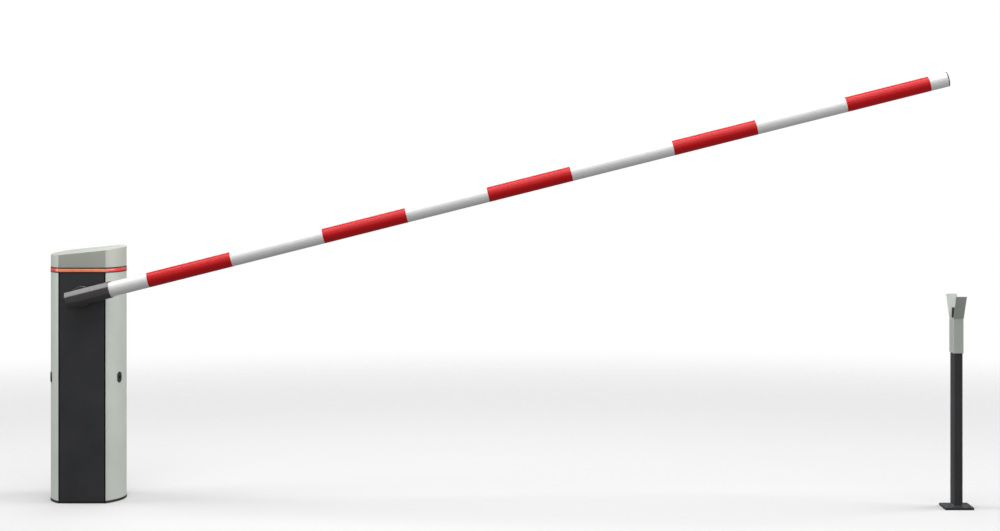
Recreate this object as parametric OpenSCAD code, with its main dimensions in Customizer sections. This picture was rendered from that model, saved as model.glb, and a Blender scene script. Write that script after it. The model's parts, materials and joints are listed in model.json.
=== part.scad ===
// Parking barrier gate: a drive cabinet, a counterbalanced boom and a free-standing boom rest.
// The origin lies on the ground, centred under the cabinet. +X runs along the closed boom to the rest,
// +Y runs to the back of the cabinet and +Z is up. Everything is in millimetres.

/* [Cabinet] */
// Width across the bulged sides
cabinet_w = 262; // [230:1:320]
// Depth from the front panel to the rear cover
cabinet_d = 226; // [220:1:280]
// Width of the flat front, between the two doors
flat_w = 165; // [160:1:185]
// Height at which the doors and the front panel end
body_top = 805; // [760:1:1000]
// Thickness of the base plate
base_t = 8; // [6:1:14]
// Wall of the doors, the front panel and the rear cover
cover_wall = 2.5; // [2:0.1:3.5]
// Dark groove between the front panel and each door
groove_w = 5; // [4:0.5:8]

/* [Light band and cap] */
// Thickness of the top plate, the lower dark line
top_plate_t = 3; // [2:0.5:5]
// Height of the luminous ring
ring_h = 11; // [8:0.5:30]
// Height of the seal over the ring
seal_h = 4; // [2:0.5:6]
// Height of the cap over its seal, at the middle of its front edge
cap_front_h = 53; // [40:1:80]
// Rise of the cap's roof towards +X, in mm per mm
roof_rise_x = 0.1; // [0:0.01:0.12]
// Rise of the cap's roof towards the back, in mm per mm
roof_rise_y = 0.032; // [0:0.004:0.08]
// Wall of the cap
cap_wall = 3; // [2:0.5:5]

/* [Drive] */
// Height of the boom's shaft over the ground
pivot_z = 723; // [700:1:725]
// Radius of the boom's shaft
shaft_r = 15; // [12:0.5:16]
// Lift of the boom over the horizontal as drawn, in degrees
rest_angle = 14.11; // [0:0.01:80]
// Length of the shaft lever and of the crank, between centres
lever_len = 60; // [50:1:60]
// Length of the connecting rod, between centres
conrod_len = 330; // [310:1:340]
// Radius of the pins in the lever and the crank
link_pin_r = 6; // [5:0.5:7]
// Radius of the gearbox's output shaft
output_r = 12; // [10:0.5:13]
// Radius of the motor
motor_r = 32; // [24:1:33]
// Wire of the balance spring
spring_wire = 7; // [4:0.5:8]
// Turns of the balance spring
spring_turns = 6; // [3:1:6]

/* [Boom] */
// Length of the tube, from its inner end to its end cap
boom_len = 3125; // [2000:5:4000]
// Outer diameter of the tube
boom_d = 51; // [45:0.5:61]
// Wall of the tube
boom_wall = 2; // [1.5:0.5:4]
// Distance of the boom's axis from the front panel
boom_offset = 77; // [75:1:90]
// Length of a red reflective band
band_len = 296; // [150:1:300]
// Thickness of a red band
band_t = 0.3; // [0.2:0.1:0.4]

/* [Boom rest] */
// Distance of the rest's post from the boom's shaft
post_x = 3035; // [1800:5:3080]
// Side of the post's square foot plate
foot_w = 98; // [95:1:160]
// Thickness of the foot plate
foot_t = 8; // [5:1:12]
// Width of the post's tube, along X
post_w = 30; // [25:1:50]
// Depth of the post's tube, along Y
post_d = 60; // [50:1:80]
// Wall of the post's tube
post_wall = 2.5; // [2:0.5:4]
// Height at which the sleeve ends and the fork begins
sleeve_top = 654; // [650:1:655]
// Length of the sleeve
sleeve_len = 119; // [100:1:200]
// Height of the fork over the sleeve
fork_h = 79; // [60:1:100]
// How far each prong leans outwards
fork_lean = 42; // [25:1:60]
// Travel of the sleeve down the post
fork_travel = 60; // [30:1:60]

/* [Mounting holes] */
// Anchor holes under the cabinet, centre to centre along X
anchor_x = 116; // [100:1:118]
// Anchor holes under the cabinet, centre to centre along Y
anchor_y = 160; // [130:1:164]
// Radius of the cabinet's anchor holes
anchor_r = 7; // [5:0.5:8]
// Radius of the cable entry in the base plate
cable_entry_r = 30; // [20:1:33]
// Bolt holes in the post's foot plate, centre to centre
foot_bolts = 70; // [65:1:74]
// Radius of the foot plate's bolt holes
foot_bolt_r = 5.5; // [4:0.5:7]

/* [Hidden] */
$fn = 96;

// Fits and clearances
run_fit = 0.05;
clear = 0.3;
door_gap = 0.5;
seat_gap = 0.5;

// Colours
light_grey = "#BEC3BC";
dark_grey = "#323335";
steel = "#9A9DA0";
zinc = "#B9BBBD";
black = "#18191B";
red = "#B80910";
orange = "#F0764F";

// Cabinet: the sides are arcs through the flat's corners and the widest point
half_w = cabinet_w / 2;
half_d = cabinet_d / 2;
bulge = half_w - flat_w / 2;
side_r = (bulge * bulge + half_d * half_d) / (2 * bulge);
side_cx = side_r - half_w;
plate_proud = 1;
ring_z = body_top + top_plate_t;
seal_z = ring_z + ring_h;
cap_z = seal_z + seal_h;
cap_screw_x = 120;
cap_screw_y = 170;
cap_screw_r = 3;
cap_screw_len = 24;
cap_screw_head = [cap_screw_r + 2, 4];
cap_boss_r = 7;
ring_wall = 4;
strip_wall = 1.7;
seal_wall = 8;
panel_half = flat_w / 2 - groove_w;
return_d = 13;
panel_fold_d = return_d + 2;
seal_y = [7, 12];
inner_y = half_d - cover_wall;

// Chassis
post_leg = 25;
angle_t = 3;
post_face_x = panel_half - cover_wall;
rail_t = 4;
rail_h = 25;
bearing_plate_t = 8;
bearing_plate_z = [pivot_z - 83, pivot_z + 67];
drive_plate_z = [pivot_z - conrod_len - 98, pivot_z - conrod_len + 92];
front_plate_y = -half_d + 31;
rear_plate_y = half_d - 39;
crank_z = pivot_z - conrod_len;
lower_rail_z = crank_z - 103;
upper_rail_z = crank_z + 77;

// Doors and their hinges
rear_fold = 11;
rear_cover_y = half_d - rear_fold;
door_end_y = rear_cover_y - 2.5;
hinge_inset = 6.5;
hinge_skin = 5.5;
hinge_pin_r = 3;
hinge_pin_len = 6;
door_flange_t = 3;
hinge_r = side_r - hinge_skin;
hinge_y = door_end_y - hinge_inset;
hinge_x = sqrt(hinge_r * hinge_r - hinge_y * hinge_y) - side_cx;
flange_x = hinge_x - 4.8;
flange_reach = 4;

// Locks, on the arc of each door
lock_z = 435;
lock_turn = -22;
lock_w = 25;
lock_h = 38;
lock_plate_t = 2;
lock_barrel_r = 9.5;
lock_core_r = 6;
lock_depth = 26;
key_slot = [1.6, 8];
key_depth = 10;
cam_t = 3;
cam_len = 30;
cam_half = 6;
keeper_gap = 0.5;
keeper_inner = 16;
keeper_half_h = 10;
keeper_foot_h = 8;
keeper_foot_y = [-half_d + 17, front_plate_y - 2];
keeper_x = side_r - lock_depth + keeper_gap;
keeper_reach = (keeper_x * sin(lock_turn) - keeper_foot_y[0]) / cos(lock_turn);
keeper_end_x = (keeper_x + angle_t) * cos(lock_turn) + keeper_reach * sin(lock_turn) - side_cx;

// Drive line, at stations along Y
lever_y = [front_plate_y + 16, front_plate_y + 28];
rod_y = [lever_y[1] + 2, lever_y[1] + 14];
drive_plate_t = 6;
drive_plate_y = rod_y[1] + 10;
gearbox_y = drive_plate_y + drive_plate_t;
gearbox_d = 60;
gearbox_half = 50;
output_boss_r = output_r + 12;
output_boss_t = 12;
output_seat = 30;
gearbox_lid_t = 4;
gearbox_lid_r = gearbox_half - 8;
arm_angle = rest_angle - 45;
lever_tip = [lever_len * cos(arm_angle), lever_len * sin(arm_angle)];
lever_hub_r = shaft_r + 9;
crank_hub_r = output_r + 8;
eye_r = link_pin_r + 8;
pin_head_r = link_pin_r + 3;
pin_head_t = 2;
shank_r = 5.5;
shank_len = 110;
turnbuckle_r = 9.5;
turnbuckle_end = 100;
collar_r = shaft_r + 21.5;
collar_t = 8;
panel_hole_r = shaft_r + 5;
plate_hole_r = shaft_r + 3;
bearing_flange = 70;
bearing_hub_r = shaft_r + 12;
bearing_flange_t = 6;
bearing_hub_t = 10;
spring_r = shaft_r + 15;
spring_y = [rod_y[1] + 10 + clear, half_d - 83 - clear];
seat_r = spring_r + spring_wire / 2 + 1;
seat_t = 6;
spring_hub_r = shaft_r + 8;
flag_y = rear_plate_y + 20;
flag_t = 4;
flag_r = 50;
flag_hub_r = shaft_r + 5;
sensor_half_w = 8;
sensor_half_h = 12;
sensor_slot = 2;
shaft_front_y = -half_d - 37;
shaft_rear_y = flag_y + flag_t + 2;

// Lever tail against its two stops, and the boom's lift at each, in degrees
tail_len = 50;
tail_half = 8;
buffer_len = 13.5;
buffer_at = 38;
buffer_r = 9;
buffer_plate_t = 8;
buffer_plate_x = [buffer_at - 12, buffer_at + 12];
closed_lift = -0.14;
open_lift = 89.86;

// Motor under the gearbox
motor_x = -30;
motor_y = gearbox_y + 38;
motor_len = 150;
motor_top_z = crank_z - gearbox_half;
motor_flange_t = 8;
motor_flange_r = motor_r + 4;
motor_cap_t = 20;
motor_cap_r = motor_r + 1;
motor_box_half = 18;
motor_box_y = [motor_r - 6, motor_r + 14];
motor_box_z = [motor_top_z - 110, motor_top_z - 50];

// Control board on its tray; what stands on the board is placed from the board's lower middle
tray_y = gearbox_y + 64;
tray_t = 3;
tray_h = 170;
board_t = 1.6;
board_w = 120;
board_h = 110;
board_z = upper_rail_z + 50;
standoff_r = 3;
standoff_h = 4.4;
standoff_inset = 5;
relay_x = [-52, -30, -8];
relay = [18, 16, 28];
relay_z = 70;
capacitor_x = [25, 45];
capacitor_z = 82;
capacitor_r = 8;
capacitor_h = 24;
strip = [108, 12, 12];
strip_z = 4;
chip_x = -20;
chip = [24, 3, 24];
chip_z = 32;
filter_x = 20;
filter = [30, 8, 20];

// Transformer on the base plate
core_x = [38, 70];
core_y = [-58, 28];
core_h = 72;
winding_t = 6;
winding_y = [core_y[0] + 22, core_y[1] - 22];
winding_z = [base_t + 18, base_t + core_h - 18];

// Service bracket, with its terminals, breaker and cable glands
service_y = half_d - 53;
service_t = 3;
service_h = 142;
service_x = [-68, 68];
din_z = [base_t + 84, base_t + 119];
din_mid_z = (din_z[0] + din_z[1]) / 2;
din_lip = 4;
din_depth = 7.5;
din_y = service_y - din_depth;
terminal_n = 8;
terminal_x = -66;
terminal_pitch = 7;
terminal_t = 6;
terminal_depth = 38;
terminal_over = 6;
breaker_x = 14;
breaker_half = 18;
breaker_depth = 44;
breaker_half_h = 40;
nose_depth = 18;
nose_half_h = 22;
toggle_y = din_y - breaker_depth - nose_depth + 2;
toggle_half = 6.5;
toggle_slot = [14, 11, 22];
toggle_r = 6;
toggle_tilt = -38;
toggle_handle = [11, 16, 4];
toggle_axle_r = 1.5;
toggle_axle_half = 9.5;
shelf_x = [-66, 6];
shelf_y = service_y - 38;
shelf_z = base_t + 35;
gland_x = [-52, -30, -8];
gland_y = service_y - 22;
gland_r = 8;
gland_len = 20;
gland_bore_r = 4.5;
gland_hex_r = 10.4;
gland_hex_t = 6;
gland_nut_t = 5;

// Boom, in its own frame: x along the tube, y across the gate, z square to both
boom_r = boom_d / 2;
boom_y = -half_d - boom_offset;
boom_start = -30;
end_cap_rim = 4;
band_starts = [254, 877, 1463, 2121, 2736];
clamp_wall = 2.5;
clamp_a = boom_r + clear + clamp_wall;
clamp_x = [-37, 118];
back_plate_t = 8;
back_y = boom_r + clear;
hub_r = shaft_r + 9;
end_plug_len = 25;
lip = [7.5, 9.3];
clamp_screw_r = 2.5;
clamp_screw_end = 15;
clamp_screw_edge = 4.6;
clamp_head = [4.5, 4];

// Boom rest
sleeve_wall = 2;
sleeve_gap = 0.5;
sleeve_half_x = post_w / 2 + sleeve_gap + sleeve_wall;
sleeve_half_y = post_d / 2 + sleeve_gap + sleeve_wall;
sleeve_cap_t = 4;
sleeve_screw_r = 3;
sleeve_screw_head = [7, 5];
pad_half = 10;
fork_plate_t = 3;
post_top = sleeve_top - sleeve_cap_t - fork_travel - 5;
closed_drop = post_x * sin(-closed_lift);
pad_gap = 0.8;
pad_top = pivot_z - closed_drop - boom_r - band_t - pad_gap;

// ---------------------------------------------------------------- shared shapes

// Box between two corners, given as [low, high] along each axis
module span(x, y, z) {
    translate([x[0], y[0], z[0]]) cube([x[1] - x[0], y[1] - y[0], z[1] - z[0]]);
}

// Round bar along Y
module bar_y(y, r) {
    translate([0, y[0], 0]) rotate([-90, 0, 0]) cylinder(h = y[1] - y[0], r = r);
}

// Flat outline, drawn in X and Z, given a thickness along Y
module plate_y(y) {
    translate([0, y[1], 0]) rotate([90, 0, 0]) linear_extrude(y[1] - y[0]) children();
}

// Flat outline, drawn in Y and Z, given a length along X
module bar_x(x) {
    translate([x[0], 0, 0]) rotate([90, 0, 90]) linear_extrude(x[1] - x[0]) children();
}

// Plan of the cabinet, grown or shrunk all round
module outline(grow) {
    both_sides() intersection() {
        translate([-side_cx, 0]) circle(r = side_r + grow);
        translate([0, -half_d - grow]) square([cabinet_w, cabinet_d + 2 * grow]);
    }
}

// Slice of the cabinet's plan
module slab(z, grow) {
    translate([0, 0, z[0]]) linear_extrude(z[1] - z[0]) outline(grow);
}

// Ring that follows the cabinet's plan
module slab_ring(z, outer, inner) {
    translate([0, 0, z[0]]) linear_extrude(z[1] - z[0]) difference() {
        outline(outer);
        outline(inner);
    }
}

// The same thing on both sides of the cabinet
module both_sides() {
    children();
    mirror([1, 0, 0]) children();
}

// Four places at the corners of a rectangle
module at_corners(x, y) {
    for (sx = [-1, 1], sy = [-1, 1]) translate([sx * x / 2, sy * y / 2, 0]) children();
}

module at_pivot() {
    translate([0, 0, pivot_z]) children();
}

module at_crank() {
    translate([0, 0, crank_z]) children();
}

// Turned so that x runs along a direction that many degrees over the horizontal
module lifted(angle) {
    rotate([0, -angle, 0]) children();
}

module in_boom() {
    translate([0, boom_y, pivot_z]) lifted(rest_angle) children();
}

// Frame of the right-hand lock: x runs outwards, square to the door
module in_lock() {
    translate([-side_cx, 0, lock_z]) rotate([0, 0, lock_turn]) children();
}

// Disc square to a lock's x axis
module lock_disc(x, r) {
    translate([x[0], 0, 0]) rotate([0, 90, 0]) cylinder(h = x[1] - x[0], r = r);
}

module at_post() {
    translate([post_x, boom_y, 0]) children();
}

// ---------------------------------------------------------------- cabinet structure

// Floor plate, with four anchor holes and the cable entry
module base_plate() {
    color(black) difference() {
        slab([0, base_t], plate_proud);
        at_corners(anchor_x, anchor_y) translate([0, 0, -1]) cylinder(h = base_t + 2, r = anchor_r);
        translate([0, 0, -1]) cylinder(h = base_t + 2, r = cable_entry_r);
    }
}

// Keeper that the right-hand lock's cam turns behind
module lock_keeper() {
    in_lock() span([keeper_x, keeper_x + angle_t], [-keeper_reach, -keeper_inner],
        [-keeper_half_h, keeper_half_h]);
    span([post_face_x - 1, keeper_end_x], keeper_foot_y, [lock_z - keeper_foot_h, lock_z + keeper_foot_h]);
}

// Four angle posts, tied by side rails that carry the drive plate and the board tray
module chassis_frame() {
    color(zinc) both_sides() {
        span([post_face_x - post_leg, post_face_x], [-inner_y, -inner_y + angle_t], [base_t, body_top]);
        span([post_face_x - angle_t, post_face_x], [-inner_y, front_plate_y], [base_t, body_top]);
        span([post_face_x - post_leg, post_face_x], [inner_y - angle_t, inner_y], [base_t, body_top]);
        span([post_face_x - angle_t, post_face_x], [rear_plate_y, inner_y], [base_t, body_top]);
        for (z = [lower_rail_z, upper_rail_z])
            span([post_face_x - rail_t, post_face_x], [front_plate_y, rear_plate_y], [z, z + rail_h]);
        lock_keeper();
    }
}

// Plate on top of the posts, seen as the lower dark line
module top_plate() {
    color(black) difference() {
        slab([body_top, ring_z], plate_proud);
        at_corners(cap_screw_x, cap_screw_y) translate([0, 0, body_top - 1])
            cylinder(h = top_plate_t + 2, r = cap_screw_r + clear);
    }
}

// Bracket block behind a rubber stop, in the tail's frame
module buffer_block(side) {
    z_near = side * (tail_half + seat_gap + buffer_len);
    z_far = z_near + side * buffer_plate_t;
    span(buffer_plate_x, [front_plate_y + bearing_plate_t, lever_y[1] + 2],
        [min(z_near, z_far), max(z_near, z_far)]);
}

module tail_frame(lift) {
    at_pivot() lifted(lift - 45 + 180) children();
}

// Front plate, with the shaft's opening and the two stop brackets
module front_bearing_plate() {
    color(zinc) {
        difference() {
            span([-post_face_x, post_face_x], [front_plate_y, front_plate_y + bearing_plate_t],
                bearing_plate_z);
            at_pivot() bar_y([front_plate_y - 1, front_plate_y + bearing_plate_t + 1], plate_hole_r);
        }
        tail_frame(closed_lift) buffer_block(-1);
        tail_frame(open_lift) buffer_block(1);
    }
}

// Rear plate, with the sleeve that anchors the balance spring
module rear_bearing_plate() {
    color(zinc) difference() {
        union() {
            span([-post_face_x, post_face_x], [rear_plate_y - bearing_plate_t, rear_plate_y],
                bearing_plate_z);
            at_pivot() bar_y([spring_y[1] + clear, rear_plate_y - 1], seat_r);
        }
        at_pivot() bar_y([spring_y[1] - 1, rear_plate_y + 1], plate_hole_r);
    }
}

// Plate across the side rails, which carries the gearbox
module drive_plate() {
    half = post_face_x - rail_t;
    color(zinc) difference() {
        span([-half, half], [drive_plate_y, gearbox_y], drive_plate_z);
        at_crank() bar_y([drive_plate_y - 1, gearbox_y + 1], output_boss_r + 2);
    }
}

// ---------------------------------------------------------------- covers

// Dark front panel with folded edges
module front_panel() {
    color(dark_grey) difference() {
        union() {
            span([-panel_half, panel_half], [-half_d, -inner_y], [base_t, body_top]);
            both_sides()
                span([post_face_x, panel_half], [-half_d, -half_d + panel_fold_d], [base_t, body_top]);
        }
        at_pivot() bar_y([-half_d - 1, -inner_y + 1], panel_hole_r);
    }
}

// Rear cover, folded round both rear corners
module rear_cover() {
    color(dark_grey) translate([0, 0, base_t]) linear_extrude(body_top - base_t) difference() {
        intersection() {
            outline(0);
            translate([-cabinet_w, rear_cover_y]) square([2 * cabinet_w, cabinet_d]);
        }
        outline(-cover_wall);
    }
}

// Rubber strips on the front panel's edges, at the bottom of the grooves
module door_seals() {
    color(black) both_sides()
        span([panel_half, flat_w / 2 - clear], [-half_d + seal_y[0], -half_d + seal_y[1]],
            [base_t, body_top]);
}

// Right-hand door: a bowed shell with a front fold and a pivot flange at each end
module door() {
    difference() {
        union() {
            translate([0, 0, base_t + door_gap]) linear_extrude(body_top - base_t - 2 * door_gap) {
                difference() {
                    intersection() {
                        outline(0);
                        translate([flat_w / 2, -half_d]) square([cabinet_w, half_d + door_end_y]);
                    }
                    outline(-cover_wall);
                }
                intersection() {
                    outline(0);
                    translate([flat_w / 2, -half_d]) square([cover_wall, return_d]);
                }
            }
            for (z = [base_t + door_gap, body_top - door_gap - door_flange_t])
                translate([0, 0, z]) linear_extrude(door_flange_t) intersection() {
                    outline(-cover_wall / 2);
                    translate([flange_x, -half_d + return_d])
                        square([cabinet_w, half_d - return_d + hinge_y + flange_reach]);
                }
        }
        translate([hinge_x, hinge_y, 0]) cylinder(h = body_top, r = hinge_pin_r + run_fit);
        in_lock() lock_disc([side_r - 10, side_r + 5], lock_barrel_r + clear);
    }
}

module side_door_right() {
    color(light_grey) door();
}

module side_door_left() {
    color(light_grey) mirror([1, 0, 0]) door();
}

// Pivot pins of both doors, standing on the base plate and hanging from the top plate
module hinge_pins() {
    color(steel) both_sides() translate([hinge_x, hinge_y, 0]) {
        translate([0, 0, base_t]) cylinder(h = hinge_pin_len, r = hinge_pin_r);
        translate([0, 0, body_top - hinge_pin_len]) cylinder(h = hinge_pin_len, r = hinge_pin_r);
    }
}

// Flat oval with round ends, standing along z
module oval(x, w, h) {
    straight = (h - w) / 2;
    for (z = [-straight, straight]) translate([0, 0, z]) lock_disc(x, w / 2);
    span(x, [-w / 2, w / 2], [-straight, straight]);
}

// Lock case: an oval plate on the door and a barrel through it
module lock_case() {
    in_lock() difference() {
        union() {
            oval([side_r, side_r + lock_plate_t], lock_w, lock_h);
            lock_disc([side_r - lock_depth + cam_t, side_r + 1], lock_barrel_r);
        }
        lock_disc([side_r - lock_depth, side_r + lock_plate_t + 1], lock_core_r + run_fit);
    }
}

// Lock core: a keyed plug with the cam on its inner end, hanging down while the lock is open
module lock_core() {
    in_lock() {
        difference() {
            lock_disc([side_r - lock_depth - cam_t, side_r + lock_plate_t], lock_core_r);
            span([side_r + lock_plate_t - key_depth, side_r + lock_plate_t + 1],
                [-key_slot[0] / 2, key_slot[0] / 2], [-key_slot[1] / 2, key_slot[1] / 2]);
        }
        span([side_r - lock_depth - cam_t, side_r - lock_depth], [-cam_half, cam_half], [-cam_len, 0]);
    }
}

module lock_right() {
    color(black) lock_case();
}

module lock_left() {
    color(black) mirror([1, 0, 0]) lock_case();
}

module lock_core_right() {
    color(steel) lock_core();
}

module lock_core_left() {
    color(steel) mirror([1, 0, 0]) lock_core();
}

// ---------------------------------------------------------------- light band and cap

module light_ring() {
    color(orange) slab_ring([ring_z, seal_z], plate_proud, -ring_wall);
}

// Strip of lamps inside the ring, standing on the top plate
module led_strip() {
    color("white") slab_ring([ring_z, seal_z - 1], -ring_wall - clear, -ring_wall - clear - strip_wall);
}

module cap_seal() {
    color(black) slab_ring([seal_z, cap_z], plate_proud, -seal_wall);
}

// Everything over the slanted roof plane, that many millimetres under the roof's top
module over_roof(drop) {
    tilt_y = -atan(roof_rise_x);
    tilt_x = atan(roof_rise_y * cos(tilt_y));
    translate([0, -half_d, cap_z + cap_front_h - drop]) rotate([tilt_x, tilt_y, 0])
        translate([-cabinet_w, -cabinet_d, 0]) cube([2 * cabinet_w, 3 * cabinet_d, 3 * cap_front_h]);
}

// Hollow cap with four screw bosses
module top_cap() {
    color(light_grey) difference() {
        union() {
            difference() {
                slab([cap_z, cap_z + 2 * cap_front_h], 0);
                difference() {
                    slab([cap_z - 1, cap_z + 2 * cap_front_h], -cap_wall);
                    over_roof(cap_wall);
                }
            }
            at_corners(cap_screw_x, cap_screw_y) translate([0, 0, ring_z])
                cylinder(h = 2 * cap_front_h, r = cap_boss_r);
        }
        over_roof(0);
        at_corners(cap_screw_x, cap_screw_y) translate([0, 0, ring_z - 1])
            cylinder(h = cap_screw_len, r = cap_screw_r + run_fit);
    }
}

module cap_screws() {
    color(steel) at_corners(cap_screw_x, cap_screw_y) {
        translate([0, 0, body_top - cap_screw_head[1]])
            cylinder(h = cap_screw_head[1], r = cap_screw_head[0]);
        translate([0, 0, body_top - 1]) cylinder(h = cap_screw_len, r = cap_screw_r);
    }
}

// ---------------------------------------------------------------- shaft and boom head

// Seal housing round the shaft, on the front panel
module shaft_seal_collar() {
    color(dark_grey) at_pivot() difference() {
        bar_y([-half_d - collar_t, -half_d], collar_r);
        bar_y([-half_d - collar_t - 1, -half_d + 1], shaft_r + clear);
    }
}

// Flanged bearing: the flange starts at y = 0 and the hub points along the sign given
module flanged_bearing(side) {
    flange_end = side * bearing_flange_t;
    hub_end = side * (bearing_flange_t + bearing_hub_t);
    half = bearing_flange / 2;
    difference() {
        union() {
            span([-half, half], [min(0, flange_end), max(0, flange_end)], [-half, half]);
            bar_y([min(flange_end, hub_end), max(flange_end, hub_end)], bearing_hub_r);
        }
        bar_y([-20, 20], shaft_r + run_fit);
    }
}

module front_bearing() {
    color(steel) at_pivot() translate([0, front_plate_y, 0]) flanged_bearing(-1);
}

module rear_bearing() {
    color(steel) at_pivot() translate([0, rear_plate_y, 0]) flanged_bearing(1);
}

module main_shaft() {
    color(steel) at_pivot() bar_y([shaft_front_y, shaft_rear_y], shaft_r);
}

// Outline of a lever: a hub and an arm with a round end
module lever_outline(hub) {
    circle(r = hub);
    translate([lever_len, 0]) circle(r = eye_r);
    translate([0, -eye_r + 2]) square([lever_len, 2 * eye_r - 4]);
}

// Shaft lever: the arm drives the boom and the tail meets the stops
module shaft_lever() {
    color(steel) at_pivot() lifted(arm_angle) plate_y(lever_y) difference() {
        union() {
            lever_outline(lever_hub_r);
            translate([-tail_len, -tail_half]) square([tail_len, 2 * tail_half]);
        }
        circle(r = shaft_r + run_fit);
        translate([lever_len, 0]) circle(r = link_pin_r + run_fit);
    }
}

// Headed pin with a spacer collar in front of the rod end and a clip behind it
module link_pin() {
    bar_y([lever_y[0], rod_y[1] + pin_head_t], link_pin_r);
    bar_y([lever_y[0] - pin_head_t, lever_y[0]], pin_head_r);
    bar_y([lever_y[1], rod_y[0] - clear], pin_head_r);
    bar_y([rod_y[1] + clear, rod_y[1] + pin_head_t], pin_head_r);
}

module lever_pin() {
    color(zinc) at_pivot() translate([lever_tip[0], 0, lever_tip[1]]) link_pin();
}

// Rubber stops for the lever's tail, one for each end of its travel
module stop_buffers() {
    color(black) {
        tail_frame(closed_lift) translate([buffer_at, (lever_y[0] + lever_y[1]) / 2, -tail_half - seat_gap])
            rotate([180, 0, 0]) cylinder(h = buffer_len, r = buffer_r);
        tail_frame(open_lift) translate([buffer_at, (lever_y[0] + lever_y[1]) / 2, tail_half + seat_gap])
            cylinder(h = buffer_len, r = buffer_r);
    }
}

// Collar that turns the front end of the balance spring
module spring_collar() {
    color(zinc) at_pivot() difference() {
        union() {
            bar_y([lever_y[1] + 4, spring_y[0] - clear], spring_hub_r);
            bar_y([spring_y[0] - clear - seat_t, spring_y[0] - clear], seat_r);
        }
        bar_y([lever_y[1], spring_y[0] + 1], shaft_r + run_fit);
    }
}

// Ring of points round the spring's wire, at a given turn angle
function wire_ring(angle, y, sides) = [
    for (i = [0:sides - 1])
        let (a = 360 * i / sides, r = spring_r + spring_wire / 2 * cos(a))
            [r * cos(angle), y + spring_wire / 2 * sin(a), r * sin(angle)]
];

// Helical torsion spring round the shaft
module balance_spring() {
    sides = 8;
    steps = 20 * spring_turns;
    y0 = spring_y[0] + spring_wire / 2;
    pitch_y = (spring_y[1] - spring_y[0] - spring_wire) / steps;
    rings = [for (i = [0:steps]) each wire_ring(18 * i, y0 + pitch_y * i, sides)];
    last = steps * sides;
    sides_faces = [
        for (i = [0:steps - 1], j = [0:sides - 1])
            let (a = i * sides + j, b = i * sides + (j + 1) % sides) [a, b, b + sides, a + sides]
    ];
    start_face = [for (j = [0:sides - 1]) sides - 1 - j];
    end_face = [for (j = [0:sides - 1]) last + j];
    color("#3A4048") at_pivot()
        polyhedron(points = rings, faces = concat(sides_faces, [start_face, end_face]));
}

// Slotted sensors behind the rear bearing, one over the shaft and one beside it
module position_sensors() {
    color(black) at_pivot() for (turn = [0, -90]) rotate([0, turn, 0]) difference() {
        span([-sensor_half_w, sensor_half_w], [rear_plate_y, flag_y + flag_t + 6],
            [flag_r - sensor_half_h, flag_r + sensor_half_h]);
        span([-sensor_half_w - 1, sensor_half_w + 1], [flag_y - sensor_slot, flag_y + flag_t + sensor_slot],
            [flag_r - sensor_half_h - 1, flag_r + 2 * sensor_slot]);
    }
}

// Flag that tells the sensors where the boom is
module sensor_flag() {
    color(steel) at_pivot() difference() {
        union() {
            bar_y([flag_y - 2, shaft_rear_y], flag_hub_r);
            lifted(rest_angle) plate_y([flag_y, flag_y + flag_t]) intersection() {
                circle(r = flag_r);
                polygon([[0, 0], [0, 2 * flag_r], [2 * flag_r, 2 * flag_r], [2 * flag_r, 0]]);
            }
        }
        bar_y([flag_y - 3, shaft_rear_y + 1], shaft_r + run_fit);
    }
}

// Hub that carries the boom's back plate on the shaft
module boom_hub() {
    color(dark_grey) at_pivot() difference() {
        bar_y([boom_y + back_y + back_plate_t, -half_d - collar_t - 1], hub_r);
        bar_y([boom_y, -half_d], shaft_r + run_fit);
    }
}

module boom_back_plate() {
    color(dark_grey) in_boom() difference() {
        span(clamp_x, [back_y, back_y + back_plate_t], [-clamp_a, clamp_a]);
        at_clamp_screws() bar_y([back_y - 1, back_y + back_plate_t + 1], clamp_screw_r + run_fit);
    }
}

module at_clamp_screws() {
    for (x = [clamp_x[0] + clamp_screw_end, clamp_x[1] - clamp_screw_end], z = [-1, 1])
        translate([x, 0, z * (clamp_a - clamp_screw_edge)]) children();
}

// Half of an octagon round the tube, open to the back plate
module clamp_outline(apothem) {
    half_facet = apothem * tan(22.5);
    polygon([
        [back_y, apothem], [-half_facet, apothem], [-apothem, half_facet],
        [-apothem, -half_facet], [-half_facet, -apothem], [back_y, -apothem]
    ]);
}

// Faceted channel that holds the tube against the back plate
module boom_clamp() {
    color(dark_grey) in_boom() difference() {
        bar_x(clamp_x) difference() {
            clamp_outline(clamp_a);
            difference() {
                clamp_outline(clamp_a - clamp_wall);
                for (z = [clamp_a - lip[1], -clamp_a])
                    translate([back_y - lip[0], z]) square([lip[0] + 1, lip[1]]);
            }
            circle(r = boom_r + clear);
        }
        at_clamp_screws() bar_y([back_y - lip[0] - 0.5, back_y + 1], clamp_screw_r + run_fit);
    }
}

module clamp_screws() {
    color(steel) in_boom() at_clamp_screws() {
        bar_y([back_y - lip[0] + 1.5, back_y + back_plate_t + 1], clamp_screw_r);
        bar_y([back_y + back_plate_t, back_y + back_plate_t + clamp_head[1]], clamp_head[0]);
    }
}

// Round bar along the boom
module bar_boom(x, r) {
    translate([x[0], 0, 0]) rotate([0, 90, 0]) cylinder(h = x[1] - x[0], r = r);
}

module boom_tube() {
    color("white") in_boom() difference() {
        bar_boom([boom_start, boom_start + boom_len], boom_r);
        bar_boom([boom_start - 1, boom_start + boom_len + 1], boom_r - boom_wall);
    }
}

// Red reflective bands wrapped round the tube
module boom_bands() {
    color(red) in_boom() for (x = band_starts) difference() {
        bar_boom([x, x + band_len], boom_r + band_t);
        bar_boom([x - 1, x + band_len + 1], boom_r);
    }
}

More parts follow.
